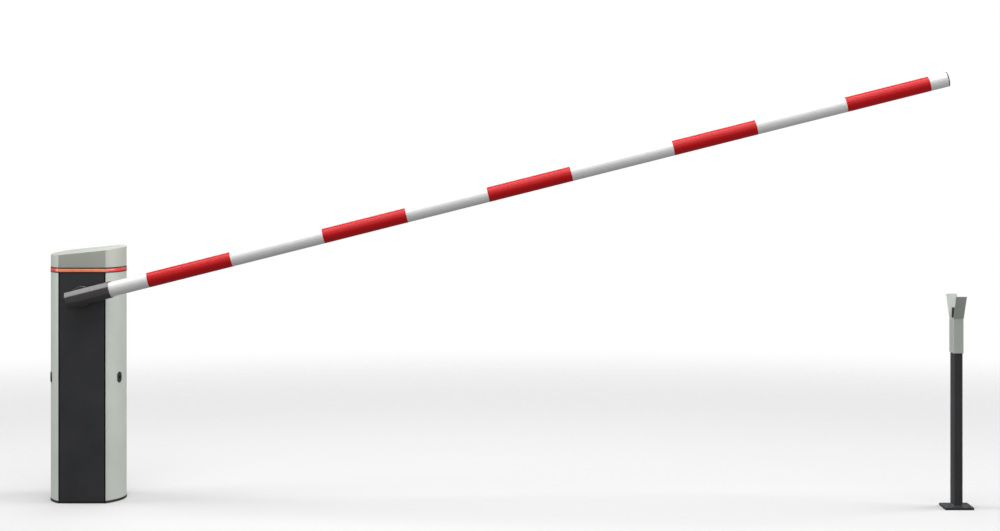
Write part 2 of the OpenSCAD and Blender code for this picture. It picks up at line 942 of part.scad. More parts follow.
// Push-in plug with a rim as wide as the tube
module boom_end_cap() {
    end = boom_start + boom_len;
    color(dark_grey) in_boom() {
        bar_boom([end, end + end_cap_rim], boom_r);
        bar_boom([end - end_plug_len, end], boom_r - boom_wall - run_fit);
    }
}

// ---------------------------------------------------------------- connecting rod, crank, gearbox

module turnbuckle_body() {
    color(zinc) at_crank() translate([lever_tip[0], (rod_y[0] + rod_y[1]) / 2, lever_tip[1]]) difference() {
        translate([0, 0, turnbuckle_end]) cylinder(h = conrod_len - 2 * turnbuckle_end, r = turnbuckle_r);
        translate([0, 0, turnbuckle_end - 1])
            cylinder(h = conrod_len - 2 * turnbuckle_end + 2, r = shank_r + run_fit);
    }
}

// Eye and threaded shank of one rod end, with the shank pointing up
module rod_end() {
    difference() {
        union() {
            bar_y(rod_y, eye_r);
            translate([0, (rod_y[0] + rod_y[1]) / 2, link_pin_r + 4]) cylinder(h = shank_len, r = shank_r);
        }
        bar_y([rod_y[0] - 1, rod_y[1] + 1], link_pin_r + run_fit);
    }
}

module rod_ends() {
    color(steel) at_crank() translate([lever_tip[0], 0, lever_tip[1]]) {
        rod_end();
        translate([0, 0, conrod_len]) mirror([0, 0, 1]) rod_end();
    }
}

// Output shaft with the washer that holds the crank
module output_shaft() {
    color(steel) at_crank() {
        bar_y([lever_y[0], gearbox_y + output_seat], output_r);
        bar_y([lever_y[0] - 4, lever_y[0]], output_r + 3);
    }
}

// Crank with its link pin pressed in
module crank_arm() {
    color(zinc) at_crank() {
        lifted(arm_angle) plate_y(lever_y) difference() {
            lever_outline(crank_hub_r);
            circle(r = output_r + run_fit);
        }
        translate([lever_tip[0], 0, lever_tip[1]]) link_pin();
    }
}

// Sealed worm gearbox
module gearbox_housing() {
    half = gearbox_half;
    color("#6E7479") at_crank() difference() {
        union() {
            span([-half, half], [gearbox_y, gearbox_y + gearbox_d], [-half, half]);
            bar_y([gearbox_y - output_boss_t, gearbox_y], output_boss_r);
            bar_y([gearbox_y + gearbox_d, gearbox_y + gearbox_d + gearbox_lid_t], gearbox_lid_r);
        }
        bar_y([gearbox_y - output_boss_t - 1, gearbox_y + output_seat + 1], output_r + run_fit);
    }
}

module motor_body() {
    color("#4A5560") translate([motor_x, motor_y, 0]) {
        translate([0, 0, motor_top_z - motor_flange_t]) cylinder(h = motor_flange_t, r = motor_flange_r);
        translate([0, 0, motor_top_z - motor_flange_t - motor_len]) cylinder(h = motor_len, r = motor_r);
        span([-motor_box_half, motor_box_half], motor_box_y, motor_box_z);
    }
}

module motor_end_cap() {
    color(black) translate([motor_x, motor_y, motor_top_z - motor_flange_t - motor_len - motor_cap_t])
        cylinder(h = motor_cap_t, r = motor_cap_r);
}

// ---------------------------------------------------------------- electronics

module board_tray() {
    half = post_face_x - rail_t;
    color(zinc) {
        span([-half, half], [tray_y, tray_y + tray_t], [upper_rail_z, upper_rail_z + tray_h]);
        for (x = [-1, 1], z = [standoff_inset, board_h - standoff_inset])
            translate([x * (board_w / 2 - standoff_inset), 0, board_z + z])
                bar_y([tray_y - standoff_h, tray_y], standoff_r);
    }
}

module control_board() {
    back = tray_y - standoff_h;
    color("#1F6B3A") span([-board_w / 2, board_w / 2], [back - board_t, back], [board_z, board_z + board_h]);
}

// Block on the board's front: its left edge, its size and its height over the board's lower edge
module on_board(x, size, z) {
    face = tray_y - standoff_h - board_t;
    span([x, x + size[0]], [face - size[1], face], [board_z + z, board_z + z + size[2]]);
}

// Relays, capacitors, a screw-terminal strip, a chip and a filter on the board's front
module board_components() {
    face = tray_y - standoff_h - board_t;
    color(black) {
        for (x = relay_x) on_board(x, relay, relay_z);
        for (x = capacitor_x)
            translate([x, 0, board_z + capacitor_z]) bar_y([face - capacitor_h, face], capacitor_r);
        on_board(-strip[0] / 2, strip, strip_z);
        on_board(chip_x, chip, chip_z);
        on_board(filter_x, filter, chip_z);
    }
}

// Transformer: an iron core on edge with a winding through it
module transformer() {
    color("#6B5A3A") {
        span(core_x, core_y, [base_t, base_t + core_h]);
        span([core_x[0] - winding_t, core_x[0]], winding_y, winding_z);
    }
}

// Upright bracket with the terminal rail and the gland shelf
module service_bracket() {
    color(zinc) difference() {
        union() {
            span(service_x, [service_y, service_y + service_t], [base_t, base_t + service_h]);
            span(service_x, [din_y, service_y], [din_z[0] + din_lip, din_z[1] - din_lip]);
            span(service_x, [din_y, din_y + 1], din_z);
            span(shelf_x, [shelf_y, service_y], [shelf_z - service_t, shelf_z]);
        }
        at_glands() cylinder(h = shelf_z + 5, r = gland_r + clear);
    }
}

module at_glands() {
    for (x = gland_x) translate([x, gland_y, 0]) children();
}

// Cable glands through the shelf, with a locknut below and a dome above
module cable_glands() {
    color(black) at_glands() difference() {
        union() {
            translate([0, 0, shelf_z - gland_len / 2]) cylinder(h = gland_len, r = gland_r);
            translate([0, 0, shelf_z]) cylinder(h = gland_hex_t, r = gland_hex_r, $fn = 6);
            translate([0, 0, shelf_z - service_t - gland_nut_t])
                cylinder(h = gland_nut_t, r = gland_hex_r, $fn = 6);
        }
        translate([0, 0, shelf_z - gland_len / 2 - 1]) cylinder(h = gland_len + 2, r = gland_bore_r);
    }
}

module terminal_blocks() {
    color("#8A8F93") for (i = [0:terminal_n - 1])
        translate([terminal_x + terminal_pitch * i, 0, 0])
            span([0, terminal_t], [din_y - terminal_depth, din_y],
                [din_z[0] - terminal_over, din_z[1] + terminal_over]);
}

// Frame of the breaker's toggle: its origin lies on the toggle's axle
module at_toggle() {
    translate([breaker_x, toggle_y, din_mid_z]) children();
}

// Two-pole breaker with a slotted nose for its toggle
module breaker() {
    face = din_y - toggle_y;
    half = breaker_half;
    slot = toggle_slot / 2;
    color("#E4E6E4") at_toggle() difference() {
        union() {
            span([-half, half], [face - breaker_depth, face], [-breaker_half_h, breaker_half_h]);
            span([-half, half], [-2, nose_depth - 2], [-nose_half_h, nose_half_h]);
        }
        span([-slot[0], slot[0]], [-3, toggle_slot[1] - 3], [-slot[2], slot[2]]);
        bar_x([-toggle_axle_half - 0.5, toggle_axle_half + 0.5]) circle(r = toggle_axle_r + run_fit);
    }
}

// Toggle drum on its own axle, with a flat handle pointing up and forward
module breaker_toggle() {
    handle = toggle_handle / 2;
    color(black) at_toggle() {
        bar_x([-toggle_half, toggle_half]) circle(r = toggle_r);
        bar_x([-toggle_axle_half, toggle_axle_half]) circle(r = toggle_axle_r);
        rotate([toggle_tilt, 0, 0])
            span([-handle[0], handle[0]], [-toggle_handle[1], 0], [-handle[2], handle[2]]);
    }
}

// ---------------------------------------------------------------- boom rest

module post_foot() {
    color(dark_grey) at_post() difference() {
        span([-foot_w / 2, foot_w / 2], [-foot_w / 2, foot_w / 2], [0, foot_t]);
        at_corners(foot_bolts, foot_bolts) translate([0, 0, -1]) cylinder(h = foot_t + 2, r = foot_bolt_r);
    }
}

module post_tube() {
    color(dark_grey) at_post() translate([0, 0, foot_t]) linear_extrude(post_top - foot_t) difference() {
        square([post_w, post_d], center = true);
        square([post_w - 2 * post_wall, post_d - 2 * post_wall], center = true);
    }
}

// Sleeve on the post's tube, closed by a cap plate, with the two leaning prongs
module fork() {
    color(light_grey) at_post() {
        difference() {
            span([-sleeve_half_x, sleeve_half_x], [-sleeve_half_y, sleeve_half_y],
                [sleeve_top - sleeve_len, sleeve_top]);
            span([-post_w / 2 - sleeve_gap, post_w / 2 + sleeve_gap],
                [-post_d / 2 - sleeve_gap, post_d / 2 + sleeve_gap],
                [sleeve_top - sleeve_len - 1, sleeve_top - sleeve_cap_t]);
            at_sleeve_screws() bar_y([0, post_d], sleeve_screw_r + run_fit);
        }
        for (side = [-1, 1]) bar_x([-sleeve_half_x, sleeve_half_x]) polygon([
            [side * sleeve_half_y, sleeve_top],
            [side * (sleeve_half_y - fork_plate_t), sleeve_top],
            [side * (sleeve_half_y - fork_plate_t + fork_lean), sleeve_top + fork_h],
            [side * (sleeve_half_y + fork_lean), sleeve_top + fork_h]
        ]);
    }
}

module at_sleeve_screws() {
    for (z = [sleeve_top - sleeve_len + 20, sleeve_top - 45]) translate([0, 0, z]) children();
}

// Rubber pad between the prongs, under the closed boom
module rest_pad() {
    half_y = sleeve_half_y - fork_plate_t;
    color(black) at_post() span([-pad_half, pad_half], [-half_y, half_y], [sleeve_top, pad_top]);
}

// Two clamping screws through the back of the sleeve
module sleeve_screws() {
    color(steel) at_post() at_sleeve_screws() {
        bar_y([post_d / 2 + clear, sleeve_half_y + 1], sleeve_screw_r);
        bar_y([sleeve_half_y, sleeve_half_y + sleeve_screw_head[1]], sleeve_screw_head[0]);
    }
}

// ---------------------------------------------------------------- selection

base_plate();
chassis_frame();
top_plate();
front_bearing_plate();
rear_bearing_plate();
drive_plate();
front_panel();
rear_cover();
door_seals();
hinge_pins();
light_ring();
led_strip();
cap_seal();
top_cap();
cap_screws();
shaft_seal_collar();
front_bearing();
rear_bearing();
gearbox_housing();
motor_body();
motor_end_cap();
balance_spring();
stop_buffers();
position_sensors();
board_tray();
control_board();
board_components();
transformer();
service_bracket();
terminal_blocks();
breaker();
breaker_toggle();
cable_glands();
main_shaft();
shaft_lever();
lever_pin();
spring_collar();
sensor_flag();
boom_hub();
boom_back_plate();
boom_clamp();
clamp_screws();
boom_tube();
boom_bands();
boom_end_cap();
turnbuckle_body();
rod_ends();
output_shaft();
crank_arm();
side_door_right();
side_door_left();
lock_right();
lock_left();
lock_core_right();
lock_core_left();
post_foot();
post_tube();
fork();
rest_pad();
sleeve_screws();
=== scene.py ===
import json
import math

import bmesh
import bpy
import numpy as np
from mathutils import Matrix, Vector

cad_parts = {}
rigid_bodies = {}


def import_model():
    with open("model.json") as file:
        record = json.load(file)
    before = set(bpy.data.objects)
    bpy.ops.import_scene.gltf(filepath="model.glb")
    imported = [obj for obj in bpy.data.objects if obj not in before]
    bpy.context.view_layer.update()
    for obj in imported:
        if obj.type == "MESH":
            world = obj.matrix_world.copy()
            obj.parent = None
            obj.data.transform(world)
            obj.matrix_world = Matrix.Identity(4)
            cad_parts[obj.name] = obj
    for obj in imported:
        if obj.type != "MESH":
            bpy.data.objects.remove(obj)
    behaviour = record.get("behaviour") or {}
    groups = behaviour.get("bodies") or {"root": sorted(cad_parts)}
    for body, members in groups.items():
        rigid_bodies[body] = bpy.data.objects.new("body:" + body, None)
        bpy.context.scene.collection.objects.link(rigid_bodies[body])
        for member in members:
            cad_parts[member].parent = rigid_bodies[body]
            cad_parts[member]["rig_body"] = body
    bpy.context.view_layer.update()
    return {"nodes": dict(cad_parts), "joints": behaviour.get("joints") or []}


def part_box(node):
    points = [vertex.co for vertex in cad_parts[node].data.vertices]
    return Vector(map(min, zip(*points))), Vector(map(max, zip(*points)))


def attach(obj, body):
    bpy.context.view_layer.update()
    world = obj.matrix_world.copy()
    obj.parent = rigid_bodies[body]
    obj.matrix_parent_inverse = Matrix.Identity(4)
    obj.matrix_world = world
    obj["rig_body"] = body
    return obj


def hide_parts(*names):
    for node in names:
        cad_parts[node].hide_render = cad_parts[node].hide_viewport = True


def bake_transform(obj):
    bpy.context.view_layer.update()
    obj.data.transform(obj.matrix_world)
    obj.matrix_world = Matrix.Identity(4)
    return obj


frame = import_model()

MM = 0.001

# ---- Studio ----------------------------------------------------------------------------------------------
# A long lens stands 1.2 m up, over the height of the cabinet, and looks level along the road. Broad soft
# lights hang over the gate and to both sides of it, so the front faces are the darker ones.


def colour(code):
    """An sRGB hex code as the linear colour a shader reads."""
    channels = [int(code[i:i + 2], 16) / 255 for i in (1, 3, 5)]
    linear = [c / 12.92 if c <= 0.04045 else ((c + 0.055) / 1.055) ** 2.4 for c in channels]
    return (*linear, 1.0)


def add(tree, kind, inputs=None, **settings):
    """Adds one shader node. Its settings are its own properties; an input is a plain value or an output."""
    node = tree.nodes.new(kind)
    for name, value in settings.items():
        setattr(node, name, value)
    for name, value in (inputs or {}).items():
        if isinstance(value, bpy.types.NodeSocket):
            tree.links.new(value, node.inputs[name])
        else:
            node.inputs[name].default_value = value
    return node


def soft_light(name, place, target, size, power, tint="#FFFFFF"):
    """A rectangular softbox at a place, turned to face a target."""
    lamp = bpy.data.lights.new(name, "AREA")
    lamp.shape = "RECTANGLE"
    lamp.size, lamp.size_y = size
    lamp.energy = power
    lamp.color = colour(tint)[:3]
    box = bpy.data.objects.new(name, lamp)
    bpy.context.scene.collection.objects.link(box)
    box.location = place
    aim = np.array(target) - np.array(place)
    box.rotation_euler = (math.atan2(math.hypot(aim[0], aim[1]), -aim[2]), 0, math.atan2(-aim[0], aim[1]))
    return box


scene = bpy.context.scene
scene.view_settings.view_transform = "Standard"

lens = bpy.data.cameras.new("camera")
lens.lens = 68.4
lens.sensor_width = 36.0
lens.shift_y = -0.1155
camera = bpy.data.objects.new("camera", lens)
scene.collection.objects.link(camera)
camera.location = (1.4598, -6.747, 1.2339)
camera.rotation_euler = (math.pi / 2, 0, 0)
scene.camera = camera

soft_light("key_softbox", (1.5, -3.2, 5.2), (1.5, 0.0, 0.6), (6.5, 3.4), 150)
soft_light("overhead_softbox", (0.6, -0.1, 4.6), (0.6, -0.1, 0.4), (8.5, 1.6), 175)
soft_light("left_softbox", (-7.0, 0.1, 2.2), (0.0, 0.0, 0.5), (5.0, 4.6), 330)
soft_light("right_softbox", (9.5, 0.1, 2.2), (0.6, 0.0, 0.5), (5.0, 4.6), 480)
soft_light("front_softbox", (1.4, -7.4, 2.6), (1.4, 0.0, 0.5), (6.5, 3.0), 60)
soft_light("back_softbox", (1.4, 4.2, 3.0), (1.4, 0.0, 0.6), (5.0, 1.6), 60)

ROOM_LIGHT, ROOM_WHITE = 0.2, 1.0
world = bpy.data.worlds.new("pale_room")
world.use_nodes = True
room = world.node_tree
seen = add(room, "ShaderNodeLightPath").outputs["Is Camera Ray"]
glow = add(room, "ShaderNodeMapRange", {"Value": seen, "To Min": ROOM_LIGHT, "To Max": ROOM_WHITE})
backdrop = room.nodes["Background"]
backdrop.inputs["Color"].default_value = colour("#FFFFFF")
room.links.new(glow.outputs[0], backdrop.inputs["Strength"])
scene.world = world

FLOOR = 30.0
floor_paint = bpy.data.materials.new("matt_floor_paint")
floor_paint.use_nodes = True
floor_tree = floor_paint.node_tree
floor_shader = floor_tree.nodes["Principled BSDF"]
floor_shader.inputs["Base Color"].default_value = colour("#D6D6D6")
floor_shader.inputs["Roughness"].default_value = 0.9
floor_place = add(floor_tree, "ShaderNodeTexCoord").outputs["Object"]
from_gate = add(floor_tree, "ShaderNodeMapping", {"Vector": floor_place, "Location": (-0.9, 0.1, 0),
                                                 "Scale": (0.6, 0.8, 0)})
floor_reach = add(floor_tree, "ShaderNodeVectorMath", {0: from_gate.outputs[0]}, operation="LENGTH")
floor_fade = add(floor_tree, "ShaderNodeMapRange", {"Value": floor_reach.outputs["Value"], "From Min": 1.6,
                                                    "From Max": 4.2, "To Min": 1.0, "To Max": 0.0},
                 interpolation_type="SMOOTHSTEP")
floor_tree.links.new(floor_fade.outputs[0], floor_shader.inputs["Alpha"])
floor_mesh = bpy.data.meshes.new("floor")
floor_mesh.from_pydata([(-FLOOR, -FLOOR, 0), (FLOOR, -FLOOR, 0), (FLOOR, FLOOR, 0), (-FLOOR, FLOOR, 0)], [],
                       [(0, 1, 2, 3)])
floor_mesh.materials.append(floor_paint)
floor = bpy.data.objects.new("floor", floor_mesh)
scene.collection.objects.link(floor)
# The floor takes shadows but is left out of bounced and mirrored light, which keeps the undersides dark.
floor.visible_diffuse = False
floor.visible_glossy = False

# ---- Cabinet shell ---------------------------------------------------------------------------------------
# Steel sheet folded on a press brake and powder coated: two bowed doors and the cap in light grey, the front
# panel and the back cover in charcoal. The coat leaves a fine orange peel and thin, slightly rounded edges.


def powder_coat(name, face, shade, roughness, peel_mm=1.6, relief=0.05):
    """Baked powder paint: one even colour, a faint cloudiness and an orange peel that breaks up highlights.
    The real peel is about half as coarse; it is drawn larger so that it shows."""
    paint = bpy.data.materials.new(name)
    paint.use_nodes = True
    tree = paint.node_tree
    shader = tree.nodes["Principled BSDF"]
    place = add(tree, "ShaderNodeTexCoord").outputs["Object"]
    cloud = add(tree, "ShaderNodeTexNoise", {"Vector": place, "Scale": 9.0, "Detail": 2.0})
    grain = add(tree, "ShaderNodeTexNoise", {"Vector": place, "Scale": 1000 / peel_mm, "Detail": 1.0})
    both = add(tree, "ShaderNodeMath", {0: cloud.outputs["Fac"], 1: grain.outputs["Fac"]},
               operation="MULTIPLY")
    tone = add(tree, "ShaderNodeMapRange", {"Value": both.outputs[0], "From Min": 0.12, "From Max": 0.4})
    mix = add(tree, "ShaderNodeMix", {0: tone.outputs[0], 6: colour(shade), 7: colour(face)},
              data_type="RGBA")
    tree.links.new(mix.outputs[2], shader.inputs["Base Color"])
    gloss = add(tree, "ShaderNodeMapRange", {"Value": cloud.outputs["Fac"], "To Min": roughness - 0.05,
                                             "To Max": roughness + 0.06})
    tree.links.new(gloss.outputs[0], shader.inputs["Roughness"])
    bump = add(tree, "ShaderNodeBump", {"Height": grain.outputs["Fac"], "Strength": relief, "Distance": MM})
    tree.links.new(bump.outputs[0], shader.inputs["Normal"])
    return paint


def dress(obj, material, body, stands_for=(), edge=0.0, steps=3, sharp=35):
    """Gives a finished mesh its material, smooth shading, rounded edges, body and CAD nodes."""
    obj.data.materials.clear()
    obj.data.materials.append(material)
    obj.data.polygons.foreach_set("use_smooth", [True] * len(obj.data.polygons))
    obj.data.set_sharp_from_angle(angle=math.radians(sharp))
    if edge:
        bevel = obj.modifiers.new("rounded_edges", "BEVEL")
        bevel.width = edge
        bevel.segments = steps
        bevel.angle_limit = math.radians(sharp)
        bevel.harden_normals = True
    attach(obj, body)
    if stands_for:
        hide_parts(*stands_for)
    return obj


def loft(name, rings, wrap=False):
    """Skin over closed rings of points, given as an array of rings by points by 3. The first and last rings
    are closed with flat faces, or joined to each other when the skin wraps round."""
    count, size = rings.shape[:2]
    here = np.arange(count if wrap else count - 1)[:, None] * size
    there = (here + size) % (count * size)
    i = np.arange(size)[None, :]
    j = (i + 1) % size
    quads = np.stack([here + i, here + j, there + j, there + i], axis=-1).reshape(-1, 4).tolist()
    if not wrap:
        quads += [list(range(size))[::-1], list(range((count - 1) * size, count * size))]
    mesh = bpy.data.meshes.new(name)
    mesh.from_pydata(rings.reshape(-1, 3).tolist(), [], quads)
    work = bmesh.new()
    work.from_mesh(mesh)
    bmesh.ops.recalc_face_normals(work, faces=work.faces)
    work.to_mesh(mesh)
    work.free()
    obj = bpy.data.objects.new(name, mesh)
    scene.collection.objects.link(obj)
    return obj


def eased_copy(node, name, edge, material, steps=2, sharp=35):
    """A CAD piece whose loose triangles are joined into whole faces, with its edges rounded."""
    mesh = bpy.data.meshes.new(name)
    work = bmesh.new()
    work.from_mesh(frame["nodes"][node].data)
    bmesh.ops.remove_doubles(work, verts=work.verts, dist=2e-6)
    bmesh.ops.dissolve_limit(work, angle_limit=math.radians(0.2), verts=work.verts, edges=work.edges)
    work.to_mesh(mesh)
    work.free()
    obj = bpy.data.objects.new(name, mesh)
    scene.collection.objects.link(obj)
    return dress(obj, material, frame["nodes"][node]["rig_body"], (node,), edge, steps, sharp)


light_coat = powder_coat("light_grey_powder_coat", "#C2C7C0", "#B8BEB6", 0.42)
dark_coat = powder_coat("charcoal_powder_coat", "#38393B", "#2D2E31", 0.40)
black_coat = powder_coat("black_powder_coat", "#161517", "#0E0D0F", 0.45)

FLAT_W = 165 * MM
WALL = 2.5 * MM
DOOR_FOLD = 13 * MM
FLANGE_THICK, FLANGE_CHORD_X, FLANGE_BACK_Y = 3 * MM, 88.5 * MM, 97 * MM
FLANGE_GAP = 0.02 * MM
cap_low, cap_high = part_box("top_cap")
door_low, door_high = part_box("side_door_right")
panel_low, panel_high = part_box("front_panel")
cover_low, cover_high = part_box("rear_cover")
BODY_W = 2 * door_high.x
BODY_D = -2 * panel_low.y
BULGE = BODY_W / 2 - FLAT_W / 2
SIDE_R = (BULGE ** 2 + (BODY_D / 2) ** 2) / (2 * BULGE)
SIDE_CX = SIDE_R - BODY_W / 2


def cabinet_outline(grow, steps=48):
    """Plan of the cabinet: an arc on each side between two flats, grown outwards by a distance."""
    reach = math.asin((BODY_D / 2 + grow) / (SIDE_R + grow))
    turn = np.linspace(-reach, reach, steps)
    right = np.stack([(SIDE_R + grow) * np.cos(turn) - SIDE_CX, (SIDE_R + grow) * np.sin(turn)], axis=1)
    return np.concatenate([right, -right])


def at_height(outline, z):
    """A flat outline as a ring of points at one height, or at one height for each point."""
    return np.column_stack([outline, np.broadcast_to(z, len(outline))])


def cabinet_band(name, low, high, outer, inner):
    """A ring that follows the cabinet's plan, with a rectangular section between two outlines."""
    return loft(name, np.stack([
        at_height(cabinet_outline(outer), low), at_height(cabinet_outline(outer), high),
        at_height(cabinet_outline(inner), high), at_height(cabinet_outline(inner), low),
    ]), wrap=True)


def upright(name, outline, low, high):
    """A flat outline carried straight up."""
    return loft(name, np.stack([at_height(outline, low), at_height(outline, high)]))


def door_section(side):
    """Plan of a bowed door's sheet: outer arc from front to back, then the inner arc and the front fold."""
    back_y = door_high.y
    front = math.asin(-(BODY_D / 2) / SIDE_R)
    turn = np.linspace(front, math.asin(back_y / SIDE_R), 64)
    outer = np.stack([SIDE_R * np.cos(turn) - SIDE_CX, SIDE_R * np.sin(turn)], axis=1)
    inside_r = SIDE_R - WALL
    fold_x = FLAT_W / 2 + WALL
    inner_front = math.acos((fold_x + SIDE_CX) / inside_r)
    turn = np.linspace(math.asin(back_y / inside_r), -inner_front, 64)
    inner = np.stack([inside_r * np.cos(turn) - SIDE_CX, inside_r * np.sin(turn)], axis=1)
    edge = np.array([[fold_x, -BODY_D / 2 + DOOR_FOLD], [FLAT_W / 2, -BODY_D / 2 + DOOR_FOLD]])
    section = np.concatenate([outer, inner, edge])
    return section * [side, 1]


def flange_plan():
    """Plan of a door's end flange: the sheet's inner arc, closed by a straight edge along the opening."""
    inside_r = SIDE_R - WALL
    front_y = -BODY_D / 2 + DOOR_FOLD
    turn = np.linspace(math.asin(front_y / inside_r), math.asin(FLANGE_BACK_Y / inside_r), 48)
    arc = np.stack([inside_r * np.cos(turn) - SIDE_CX, inside_r * np.sin(turn)], axis=1)
    return np.concatenate([arc, [[FLANGE_CHORD_X, FLANGE_BACK_Y], [FLANGE_CHORD_X, front_y]]])


for side, word in ((1, "right"), (-1, "left")):
    shell = upright(f"{word}_door_shell", door_section(side), door_low.z, door_high.z)
    dress(shell, light_coat, f"door_{word}", edge=0.7 * MM)
    for k, low in enumerate((door_low.z + FLANGE_GAP, door_high.z - FLANGE_THICK - FLANGE_GAP)):
        flange = upright(f"{word}_door_flange_{k + 1}", flange_plan() * [side, 1], low, low + FLANGE_THICK)
        dress(flange, light_coat, f"door_{word}", edge=0.4 * MM)
    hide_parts(f"side_door_{word}")


def panel_section(half, face_y, depth, fold):
    """Plan of the front panel's sheet: a flat face with a fold running back from each edge."""
    inner = half - WALL
    return np.array([
        [-half, face_y], [half, face_y], [half, face_y + fold], [inner, face_y + fold],
        [inner, face_y + depth], [-inner, face_y + depth], [-inner, face_y + fold], [-half, face_y + fold],
    ])


panel = upright("folded_front_panel", panel_section(panel_high.x, panel_low.y, WALL, 15 * MM),
                panel_low.z, panel_high.z)
dress(panel, dark_coat, "cabinet", ("front_panel",), edge=0.8 * MM)


def cover_section():
    """Plan of the rear cover's sheet: a flat back with both corners folded forward along the side arcs."""
    start_y = cover_low.y
    corner = math.asin((BODY_D / 2) / SIDE_R)
    turn = np.linspace(math.asin(start_y / SIDE_R), corner, 12)
    right = np.stack([SIDE_R * np.cos(turn) - SIDE_CX, SIDE_R * np.sin(turn)], axis=1)
    inside_r = SIDE_R - WALL
    turn = np.linspace(math.asin((BODY_D / 2 - WALL) / inside_r), math.asin(start_y / inside_r), 12)
    inner_right = np.stack([inside_r * np.cos(turn) - SIDE_CX, inside_r * np.sin(turn)], axis=1)
    mirror = np.array([-1, 1])
    return np.concatenate([right, (right * mirror)[::-1], (inner_right * mirror), inner_right[::-1]])


cover = upright("folded_rear_cover", cover_section(), cover_low.z, cover_high.z)
dress(cover, dark_coat, "cabinet", ("rear_cover",), edge=0.6 * MM)

eased_copy("base_plate", "ground_plate", 0.8 * MM, black_coat)
eased_copy("top_plate", "head_plate", 0.5 * MM, black_coat)

rubber = bpy.data.materials.new("black_EPDM_rubber")
rubber.use_nodes = True
rubber_tree = rubber.node_tree
# Extruded EPDM looks nearly black and dull, with a fine dusty grain about a millimetre across.
rubber_shader = rubber_tree.nodes["Principled BSDF"]
rubber_shader.inputs["Roughness"].default_value = 0.75
rubber_place = add(rubber_tree, "ShaderNodeTexCoord").outputs["Object"]
rubber_grain = add(rubber_tree, "ShaderNodeTexNoise", {"Vector": rubber_place, "Scale": 900.0, "Detail": 3.0})
rubber_tone = add(rubber_tree, "ShaderNodeMix", {0: rubber_grain.outputs["Fac"], 6: colour("#121213"),
                                                 7: colour("#232324")}, data_type="RGBA")
rubber_tree.links.new(rubber_tone.outputs[2], rubber_shader.inputs["Base Color"])
rubber_bump = add(rubber_tree, "ShaderNodeBump", {"Height": rubber_grain.outputs["Fac"], "Strength": 0.12,
                                                  "Distance": MM})
rubber_tree.links.new(rubber_bump.outputs[0], rubber_shader.inputs["Normal"])

eased_copy("door_seals", "groove_seals", 0.8 * MM, rubber)
seal_low, seal_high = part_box("cap_seal")
gasket = cabinet_band("cap_gasket", seal_low.z, seal_high.z, 0.4 * MM, -8 * MM)
dress(gasket, rubber, "cabinet", ("cap_seal",), edge=0.6 * MM)

# ---- Light band and cap ----------------------------------------------------------------------------------
# A closed strip of orange-red translucent acrylic, bent round the cabinet and lit from behind by lamps on a
# tape. It glows more orange where the lamps face the eye and redder towards the sides; that change is painted
# light, set into its colour by the distance out from the middle of the front.


def lit_acrylic(name):
    """Moulded translucent acrylic over lamps: a glossy skin and a soft inner glow, brighter at each lamp."""
    glow = bpy.data.materials.new(name)
    glow.use_nodes = True
    tree = glow.node_tree
    shader = tree.nodes["Principled BSDF"]
    shader.inputs["Roughness"].default_value = 0.22
    shader.inputs["IOR"].default_value = 1.49
    shader.inputs["Subsurface Weight"].default_value = 0.15
    shader.inputs["Subsurface Radius"].default_value = (0.004, 0.0015, 0.0008)
    place = add(tree, "ShaderNodeTexCoord").outputs["Object"]
    parts = add(tree, "ShaderNodeSeparateXYZ", {"Vector": place})
    across = add(tree, "ShaderNodeMath", {0: parts.outputs["X"]}, operation="ABSOLUTE")
    # Painted light: the colour runs from orange on the front to red round the sides, where the lamps turn away
    # from the eye.
    side = add(tree, "ShaderNodeMapRange", {"Value": across.outputs[0], "From Min": FLAT_W / 2 - 4 * MM,
                                            "From Max": FLAT_W / 2 + 10 * MM})
    tone = add(tree, "ShaderNodeMix", {0: side.outputs[0], 6: colour("#E8855E"), 7: colour("#CC3F3A")},
               data_type="RGBA")
    pulse = add(tree, "ShaderNodeTexWave", {"Vector": place, "Scale": 9.5, "Distortion": 0.0},
                bands_direction="X")
    power = add(tree, "ShaderNodeMapRange", {"Value": pulse.outputs["Fac"], "To Min": 0.26, "To Max": 0.34})
    tree.links.new(tone.outputs[2], shader.inputs["Base Color"])
    tree.links.new(tone.outputs[2], shader.inputs["Emission Color"])
    tree.links.new(power.outputs[0], shader.inputs["Emission Strength"])
    return glow


ring_low, ring_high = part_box("light_ring")
BAND_PROUD = 1 * MM - 0.05 * MM


def lens_band():
    """The band's section: a flat outer face with a soft lip above and below, and a thin wall behind it."""
    lip = 1.6 * MM
    turn = np.linspace(0, math.pi / 2, 6)
    rings = [(BAND_PROUD - lip + lip * math.sin(t), ring_low.z + lip - lip * math.cos(t)) for t in turn]
    rings += [(BAND_PROUD - lip + lip * math.cos(t), ring_high.z - lip + lip * math.sin(t)) for t in turn]
    rings += [(-4 * MM, ring_high.z), (-4 * MM, ring_low.z)]
    skin = np.stack([at_height(cabinet_outline(grow), z) for grow, z in rings])
    return loft("acrylic_light_band", skin, wrap=True)


acrylic = lit_acrylic("orange_acrylic")
dress(lens_band(), acrylic, "cabinet", ("light_ring",), sharp=50)

lamp_tape = bpy.data.materials.new("lit_lamp_tape")
lamp_tape.use_nodes = True
lamp_tree = lamp_tape.node_tree
# A white flexible strip: warm light, strongest at each lamp and weaker between them.
lamp_shader = lamp_tree.nodes["Principled BSDF"]
lamp_shader.inputs["Base Color"].default_value = colour("#F2EDE0")
lamp_shader.inputs["Roughness"].default_value = 0.4
lamp_shader.inputs["Emission Color"].default_value = colour("#FFE9D8")
lamp_place = add(lamp_tree, "ShaderNodeTexCoord").outputs["Object"]
lamp_dots = add(lamp_tree, "ShaderNodeTexVoronoi", {"Vector": lamp_place, "Scale": 60.0})
lamp_power = add(lamp_tree, "ShaderNodeMapRange", {"Value": lamp_dots.outputs["Distance"], "From Max": 0.5,
                                                   "To Min": 1.5, "To Max": 0.2})
lamp_tree.links.new(lamp_power.outputs[0], lamp_shader.inputs["Emission Strength"])
eased_copy("led_strip", "lamp_tape", 0.3 * MM, lamp_tape)

